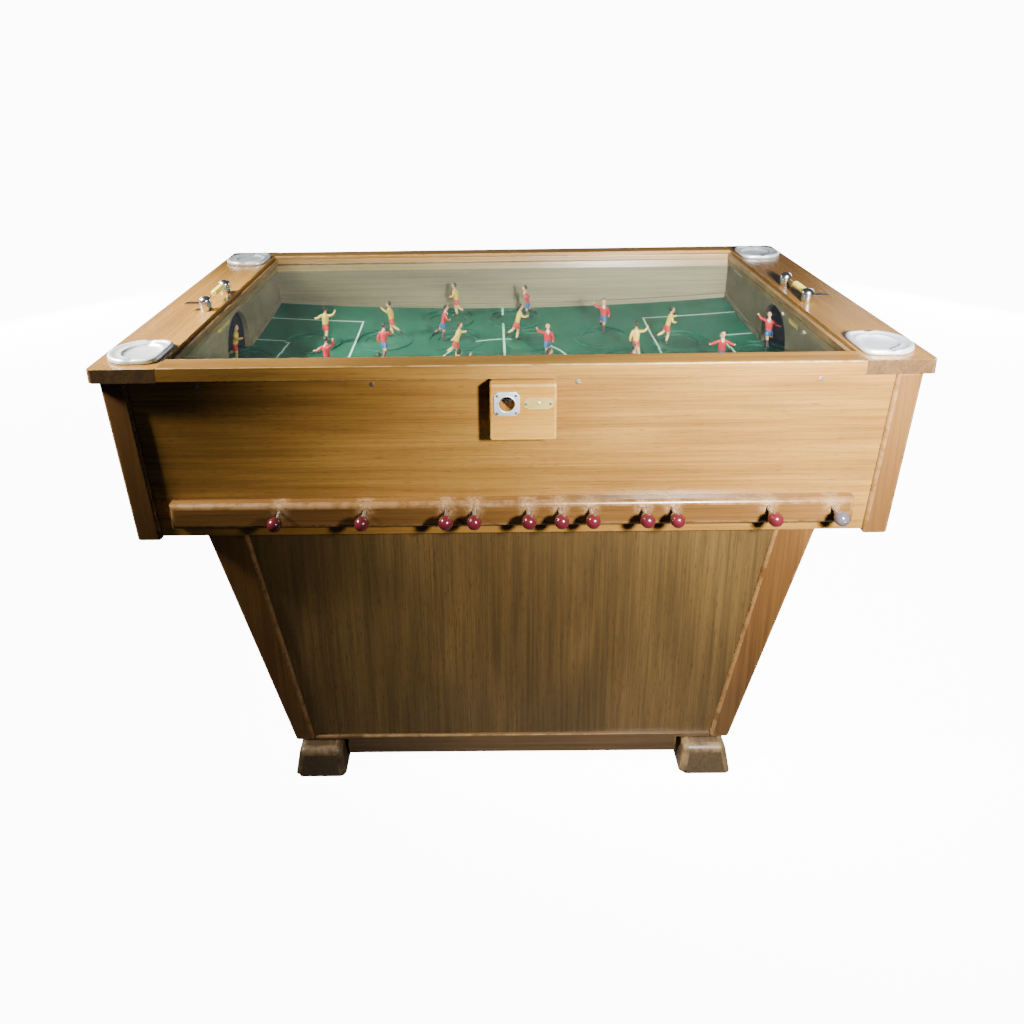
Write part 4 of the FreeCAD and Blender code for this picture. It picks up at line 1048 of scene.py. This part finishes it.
def bent(start, elbow, end):
    """Five points from start to end that turn at the elbow."""
    return [start, start.lerp(elbow, 0.55), elbow.lerp(start, 0.12).lerp(end, 0.06),
            elbow.lerp(end, 0.5), end]


# %% [markdown]
# A hand's place is given as (forward, outward, up) in millimetres from the standing foot, so
# the same word serves the left and the right arm.

# %% One footballer
HANDS = {
    "down": (2, 12, 45), "side": (3, 26, 60), "up": (4, 25, 80), "bent": (14, 10, 56),
    "ahead": (22, 12, 64), "raised": (20, 13, 78), "behind": (-13, 15, 54),
    "fist": (9, 15, 66),
}


def footballer(left, right, trailing, lean=0.0):
    """A figure on one leg facing +X, in millimetres; trailing is +1 for the left leg."""
    bm = bmesh.new()
    # legs: the standing one, then the trailing one
    hip, knee, ankle = (Vector((0.5, -3.2 * trailing, 42)), Vector((2.2, -1.0 * trailing, 24)),
                        Vector((-1.0, 0, 7)))
    limb(bm, [hip, hip.lerp(knee, 0.5), knee], [4.9, 4.3, 3.4], SKIN)
    shin = knee.lerp(ankle, 0.22)
    limb(bm, [shin, knee.lerp(ankle, 0.42) - X * 0.5, knee.lerp(ankle, 0.75), ankle],
         [3.5, 3.8, 2.9, 2.5], SOCK)
    limb(bm, [shin + Z * 0.6, shin - Z * 1.0], [3.9, 3.9], SOCK)
    limb(bm, [Vector((-1.0, 0, 7.5)), Vector((-1.0, 0, 4.5))], [3.0, 3.2], BOOT)
    limb(bm, [Vector((-2.2, 0, 2.9)), Vector((2, 0, 2.9)), Vector((7, 0, 2.5)),
              Vector((9.6, 0, 2.1))], [2.9, 3.1, 2.9, 2.1], BOOT)
    back_hip, back_knee, back_ankle = (Vector((-1, 3.4 * trailing, 43)),
                                       Vector((-7.5, 5.5 * trailing, 27)),
                                       Vector((-20, 6.2 * trailing, 20.5)))
    limb(bm, [back_hip, back_hip.lerp(back_knee, 0.5), back_knee], [4.9, 4.3, 3.4], SKIN)
    shin = back_knee.lerp(back_ankle, 0.2)
    limb(bm, [shin, back_knee.lerp(back_ankle, 0.42), back_knee.lerp(back_ankle, 0.75),
              back_ankle], [3.4, 3.8, 2.9, 2.5], SOCK)
    limb(bm, [shin, back_knee.lerp(back_ankle, 0.3)], [3.9, 3.9], SOCK)
    heel = back_ankle + Vector((-1.5, 0, 0.8))
    toe = back_ankle + Vector((-6.5, 0, -8.0))
    limb(bm, [heel, heel.lerp(toe, 0.4), heel.lerp(toe, 0.8), toe], [2.9, 3.1, 2.7, 2.0], BOOT)
    # shorts: a seat and two flared legs
    tilt = (Z * 28 + X * (2 + lean)).normalized()
    chest, neck = Vector((2.2 + lean * 0.7, 0, 63)), Vector((3.4 + lean, 0, 72.5))
    loft(bm, [(Vector((0, 0, 38.5)), Z, 5.6, 4.6), (Vector((0, 0, 40.5)), Z, 7.6, 6.2),
              (Vector((0, 0, 44)), Z, 8.0, 6.3), (Vector((0.3, 0, 47.5)), tilt, 7.2, 5.8),
              (Vector((0.5, 0, 49)), tilt, 6.0, 4.8)], SHORTS)
    for root, end in ((hip, knee), (back_hip, back_knee)):
        cuff = root.lerp(end, 0.52)
        limb(bm, [root, root.lerp(end, 0.3), cuff], [5.2, 5.5, 5.9], SHORTS)
    # shirt: waist, chest and shoulders
    waist = Vector((0.6 + lean * 0.15, 0, 50))
    loft(bm, [(Vector((0.3, 0, 46.5)), tilt, 6.6, 5.3), (Vector((0.4, 0, 47.2)), tilt, 7.9, 6.4),
              (waist, tilt, 7.1, 5.6), (waist.lerp(chest, 0.5), tilt, 7.8, 5.9),
              (chest, tilt, 9.0, 6.6), (chest.lerp(neck, 0.45), tilt, 9.2, 6.0),
              (chest.lerp(neck, 0.75), tilt, 7.6, 4.9), (neck, tilt, 4.0, 3.7),
              (neck + tilt * 1.2, tilt, 3.0, 2.9)], SHIRT, 16)
    # arms, from the shoulder to the hand's place
    for side, hold in ((1, left), (-1, right)):
        ahead, outward, up = HANDS[hold]
        shoulder = chest.lerp(neck, 0.52) + Y * (7.6 * side)
        hand = Vector((ahead + lean * 0.5, outward * side, up))
        elbow = shoulder.lerp(hand, 0.5) + Vector((-3.5, 4.0 * side, -4.5))
        wrist = elbow.lerp(hand, 0.80)
        limb(bm, bent(shoulder, elbow, wrist), [3.9, 3.5, 2.9, 2.9, 2.3], SHIRT)
        reach = (hand - elbow).normalized()
        limb(bm, [wrist, hand - reach * 1.2, hand + reach * 0.4], [1.7, 2.3, 2.1], SKIN)
        limb(bm, [hand - reach * 1.5 + Z * 1.2, hand + Z * 2.4], [0.8, 0.7], SKIN, 6)
    # neck, collar, head and hair
    crown = neck + Vector((1.0 + lean * 0.15, 0, 11.5))
    limb(bm, [neck - Z * 2, neck + Z * 4], [2.9, 2.8], SKIN)
    loft(bm, [(neck, tilt, 4.3, 4.0), (neck + tilt * 1.3, tilt, 4.2, 3.9),
              (neck + tilt * 2.0, tilt, 3.3, 3.1)], COLLAR)
    for side in (-1, 1):
        limb(bm, [neck + Vector((3.2, 2.6 * side, 0.2)), neck + Vector((4.9, 1.3 * side, -3.2)),
                  neck + Vector((5.6, 0, -6.0))], [1.0, 1.1, 0.8], COLLAR, 6)
    rings = ((-7.0, 2.2, 2.6, 1.6), (-5.2, 3.3, 4.3, 0.9), (-2.4, 4.3, 5.4, 0.2),
             (0.8, 4.8, 5.8, 0.0), (3.8, 4.7, 5.6, -0.2), (6.0, 3.6, 4.4, -0.4),
             (7.1, 1.9, 2.3, -0.5))
    loft(bm, [(crown + Vector((shift, 0, rise)), Z, wide, deep)
              for rise, wide, deep, shift in rings], SKIN, 14)
    cap = bmesh.new()
    ball(cap, crown + Vector((-0.7, 0, 1.5)), (6.0, 5.3, 6.4), 0, 18)
    bmesh.ops.bisect_plane(cap, geom=cap.verts[:] + cap.edges[:] + cap.faces[:],
                           plane_co=crown + Vector((1.6, 0, 2.6)), plane_no=(0.86, 0, -0.5),
                           clear_outer=True)
    bmesh.ops.edgeloop_fill(cap, edges=[e for e in cap.edges if e.is_boundary])
    for face in cap.faces:
        face.material_index = HAIR
    absorb(bm, cap)
    limb(bm, [crown + Vector((5.3, 0, 1.2)), crown + Vector((6.5, 0, -1.2))], [0.7, 1.0], SKIN, 6)
    limb(bm, [crown + Vector((5.0, -1.3, -3.9)), crown + Vector((5.3, 0, -4.1)),
              crown + Vector((5.0, 1.3, -3.9))], [0.35, 0.5, 0.35], MOUTH, 6)
    for side in (-1, 1):
        ball(bm, crown + Vector((5.1, 1.9 * side, 0.9)), (0.6, 0.8, 0.5), EYE, 8)
        limb(bm, [crown + Vector((5.4, 1.0 * side, 2.3)), crown + Vector((4.9, 2.9 * side, 2.2))],
             [0.35, 0.3], HAIR, 6)
        ball(bm, crown + Vector((0.2, 4.8 * side, 0.0)), (1.1, 0.7, 1.6), SKIN, 8)
    return bm


# %% [markdown]
# ### The two teams
# Each row says where the standing foot is on its disc, which way the player faces, both in
# degrees from +X, what the hands do, which leg trails and how far the player leans.

# %% The line-up
LINE_UP = {
    "red": [
        (47, 235, "side", "up", 1, 0), (90, 265, "side", "side", 1, 0),
        (180, 10, "bent", "side", 1, 2), (75, 262, "down", "up", -1, 0),
        (200, 80, "bent", "down", 1, 0), (75, 275, "down", "up", 1, 1),
        (0, 190, "fist", "behind", -1, 3), (180, 95, "bent", "up", 1, 0),
        (175, 10, "fist", "bent", 1, 3), (115, 80, "down", "ahead", -1, 0),
        (20, 95, "side", "raised", -1, 1)],
    "yellow": [
        (220, 0, "down", "ahead", 1, 1), (0, 80, "side", "up", -1, 0),
        (65, 170, "raised", "down", 1, 1), (225, 60, "side", "bent", 1, 0),
        (50, 165, "bent", "down", 1, 0), (135, 5, "ahead", "behind", 1, 4),
        (240, 100, "bent", "side", -1, 0), (180, 20, "bent", "ahead", 1, 4),
        (180, 10, "fist", "ahead", 1, 2), (0, 85, "down", "up", -1, 0),
        (195, 5, "ahead", "bent", 1, 4)],
}
ORBIT = 0.033
DISC_EDGE = 0.0007
for team, rows in LINE_UP.items():
    paints = [skin_paint, hair_paint, boot_paint, eye_paint, mouth_paint] + TEAM_PAINTS[team]
    for number, (foot_angle, face_angle, left, right, trailing, lean) in enumerate(rows, 1):
        name = f"player_{team}_{number:02d}"
        disc = DISCS[name]
        low, high = span(disc)
        step = Vector((math.cos(math.radians(foot_angle)), math.sin(math.radians(foot_angle)), 0))
        spot = Vector(((low.x + high.x) / 2, (low.y + high.y) / 2, high.z)) + step * ORBIT
        player = footballer(left, right, trailing, lean)
        bmesh.ops.transform(player, verts=player.verts, matrix=Matrix.Translation(spot)
                            @ Matrix.Rotation(math.radians(face_angle), 4, "Z")
                            @ Matrix.Scale(MM, 4))
        made = piece(f"figure_{team}_{number:02d}", player, name, paints,
                     [name], flat_angle=70)
        smooth = made.modifiers.new("soft_form", "SUBSURF")
        smooth.levels = smooth.render_levels = 1
        # the turning disc with its eased rim, then the spindle and gear under it
        centre = Vector(((low.x + high.x) / 2, (low.y + high.y) / 2, low.z))
        radius, thick = (high.x - low.x) / 2, high.z - low.z
        turntable = bmesh.new()
        turned(turntable, [(0.0, thick), (radius * 0.5, thick), (radius - DISC_EDGE * 2.2, thick),
                           (radius - DISC_EDGE * 0.5, thick - DISC_EDGE * 0.4),
                           (radius, thick - DISC_EDGE * 1.6), (radius, 0.0), (0.0, 0.0)],
               Matrix.Translation(centre), 64)
        # the outer band of the disc top is marked for painted shade: near black, for the shadow in
        # the gap round the disc
        grime_and_rim_shade = turntable.faces.layers.float.new("edge_wear_and_rim_shade")
        for face in turntable.faces:
            away = (face.calc_center_median() - centre).to_2d().length
            face[grime_and_rim_shade] = 1.0 if away > radius - DISC_EDGE * 1.8 else 0.0
        piece(f"disc_{team}_{number:02d}", turntable, name, [disc_paint], [name])
        works = [bm for bm in drive_solids[name] if bm is not disc and span(bm)[0].z < low.z - 0.01]
        piece(f"spindle_{team}_{number:02d}", joined(works), name, [shaft_steel],
              [name])
print(len(PIECES), "pieces so far")

# %% [markdown]
# ## Knobs
# Every player has a moulded mushroom knob on a steel shaft. The goalkeepers' knobs are grey,
# the others maroon. The moulding is glossy with tiny scratches, and a steel pin shows in the
# middle of a goalkeeper's knob.


# %% The moulded finish
def moulded(name, colour, worn):
    """Old glossy moulding: mottled colour and fine scratches."""
    material, recipe, shader, place = finish_base(name)
    marks = use(recipe, speckle_tree, Vector=place, Scale=420.0, Share=0.35)
    mottled = recipe.blotch(marks["Cloud"], (0.40, 0.66), 0.6, colour, worn)
    recipe.join(shader.inputs["Base Color"], recipe.mix(
        recipe.math("MULTIPLY", marks["Mask"], 0.4), mottled, worn))
    recipe.join(shader.inputs["Roughness"], recipe.between(marks["Cloud"], 0.14, 0.30))
    shader.inputs["Coat Weight"].default_value = 0.3
    shader.inputs["Coat Roughness"].default_value = 0.08
    recipe.relief(shader, marks["Mask"], 0.05, 0.0002)
    return material


knob_maroon = moulded("knob_maroon", (0.080, 0.008, 0.014), (0.036, 0.005, 0.009))
knob_grey = moulded("knob_grey", (0.060, 0.055, 0.075), (0.11, 0.10, 0.12))

# %% Knobs and shafts
CROWN, KNOB_LONG, NECK = 0.013, 0.024, 0.0065
CAP_START = math.radians(-38)
cap_arc = [(CROWN * math.cos(angle), KNOB_LONG - CROWN + CROWN * math.sin(angle)) for angle in
           [CAP_START + (math.pi / 2 - CAP_START) * step / 16 for step in range(16)]]
KNOB_OUTLINE = ([(0.0, 0.0), (NECK, 0.0), (NECK * 0.92, 0.0022), (NECK * 0.98, 0.0030)]
                + cap_arc + [(0.0, KNOB_LONG)])
for team, outward in (("red", -Y), ("yellow", Y)):
    for number in range(1, 12):
        name = f"knob_{team}_{number:02d}"
        low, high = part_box(name)
        crown_y = low.y if outward.y < 0 else high.y
        foot = Vector(((low.x + high.x) / 2, crown_y - outward.y * KNOB_LONG,
                       (low.z + high.z) / 2))
        head = bmesh.new()
        turned(head, KNOB_OUTLINE, facing(outward, foot), 40)
        knob_finish = knob_grey if number == 1 else knob_maroon
        if number == 1:
            pin = foot + outward * (KNOB_LONG - 0.0008)
            turned(head, [(0.0, 0.0010), (0.0016, 0.0009), (0.0021, 0.0003), (0.0021, -0.002)],
                   facing(outward, pin), 20, 1)
        piece(f"knob_head_{team}_{number:02d}", head, name, [knob_finish, shaft_steel],
              [name], flat_angle=50)
        rods = [bm for bm in solids_of(name)
                if abs(middle(bm).y - (foot.y + outward.y * KNOB_LONG / 2)) > 0.02]
        piece(f"shaft_{team}_{number:02d}", joined(rods), name, [shaft_steel],
              [name])
refinish("bearing_brackets", shaft_steel)
print(len(PIECES), "pieces in all")

# %% [markdown]
# ## Floor, light and camera
# The table stands on a plain pale floor. A small lamp close to the front right corner throws
# the long shadows of the knobs, and a soft light from the left reaches over the end board
# into the pitch. Two low lights behind show the back and the ends, and a dim world fills the
# rest. Floor and world glow white only where the camera sees them directly, so they don't
# flood the varnish with light.

# %% Floor
GLOW = 12.0
floor_mesh = bmesh.new()
bmesh.ops.create_grid(floor_mesh, x_segments=1, y_segments=1, size=30.0)
floor_data = bpy.data.meshes.new("studio_floor")
floor_mesh.to_mesh(floor_data)
floor_mesh.free()
floor = bpy.data.objects.new("studio_floor", floor_data)
bpy.context.scene.collection.objects.link(floor)
floor_finish, recipe, shader, place = finish_base("studio_floor_finish")
seen = recipe.add("ShaderNodeLightPath").outputs["Is Camera Ray"]
recipe.join(shader.inputs["Base Color"],
            recipe.mix(seen, (0.12, 0.115, 0.11), (0.90, 0.90, 0.90)))
shader.inputs["Roughness"].default_value = 0.9
shader.inputs["Emission Color"].default_value = (1, 1, 1, 1)
recipe.join(shader.inputs["Emission Strength"], recipe.math("MULTIPLY", seen, GLOW))
floor_data.materials.append(floor_finish)
floor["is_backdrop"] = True


# %% Lights and world
def soft_light(name, spot, target, width, power, colour=(1, 1, 1), spread=180):
    """A square area light at a spot, turned towards a target."""
    data = bpy.data.lights.new(name, "AREA")
    data.shape = "SQUARE"
    data.size = width
    data.energy = power
    data.color = colour
    data.spread = math.radians(spread)
    light = bpy.data.objects.new(name, data)
    bpy.context.scene.collection.objects.link(light)
    light.location = spot
    light.rotation_mode = "QUATERNION"
    light.rotation_quaternion = (Vector(target) - Vector(spot)).to_track_quat("-Z", "Y")
    light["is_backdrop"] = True


soft_light("key_right", (0.55, -1.30, 1.26), (0.60, -0.39, 0.92), 0.14, 44, (1.0, 0.95, 0.86), 100)
soft_light("side_left", (-2.3, -0.5, 2.4), (-0.66, -0.12, 0.87), 0.5, 15, (1.0, 0.94, 0.80), 22)
soft_light("low_back_left", (-2.6, 2.6, 0.70), (-0.2, 0.0, 0.50), 1.2, 60, (1.0, 0.97, 0.93))
soft_light("low_back_right", (2.6, 2.6, 0.70), (0.2, 0.0, 0.50), 1.2, 60, (1.0, 0.97, 0.93))
world = bpy.data.worlds.new("pale_world")
bpy.context.scene.world = world
world.use_nodes = True
sky = Recipe(world.node_tree)
seen = sky.add("ShaderNodeLightPath").outputs["Is Camera Ray"]
backdrop = world.node_tree.nodes["Background"]
sky.join(backdrop.inputs["Color"], sky.mix(seen, (0.058, 0.068, 0.088), (GLOW, GLOW, GLOW)))
backdrop.inputs["Strength"].default_value = 1.0

# %% Camera
LENS, SHIFT = 26.82, (0.0266, -0.2166)
PITCH_DOWN, ROLL, YAW = math.radians(17.06), math.radians(0.92), math.radians(0.49)
CAMERA_PLACE = (-0.03013, -1.60336, 1.39056)
camera_data = bpy.data.cameras.new("view")
camera_data.lens = LENS
camera_data.sensor_width = 36.0
camera_data.shift_x, camera_data.shift_y = SHIFT
camera_data.clip_end = 100.0
camera = bpy.data.objects.new("view", camera_data)
bpy.context.scene.collection.objects.link(camera)
right = Vector((math.cos(YAW), math.sin(YAW), 0))
level = Vector((-math.sin(YAW), math.cos(YAW), 0))
ahead = level * math.cos(PITCH_DOWN) - Z * math.sin(PITCH_DOWN)
upward = level * math.sin(PITCH_DOWN) + Z * math.cos(PITCH_DOWN)
camera_right = right * math.cos(ROLL) - upward * math.sin(ROLL)
camera_up = right * math.sin(ROLL) + upward * math.cos(ROLL)
camera.matrix_world = Matrix.Translation(CAMERA_PLACE) @ Matrix(
    (camera_right, camera_up, -ahead)).transposed().to_4x4()
bpy.context.scene.camera = camera

# %% Sizes, and finish
low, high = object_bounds()
print("visual box", [round(c, 4) for c in low], [round(c, 4) for c in high])
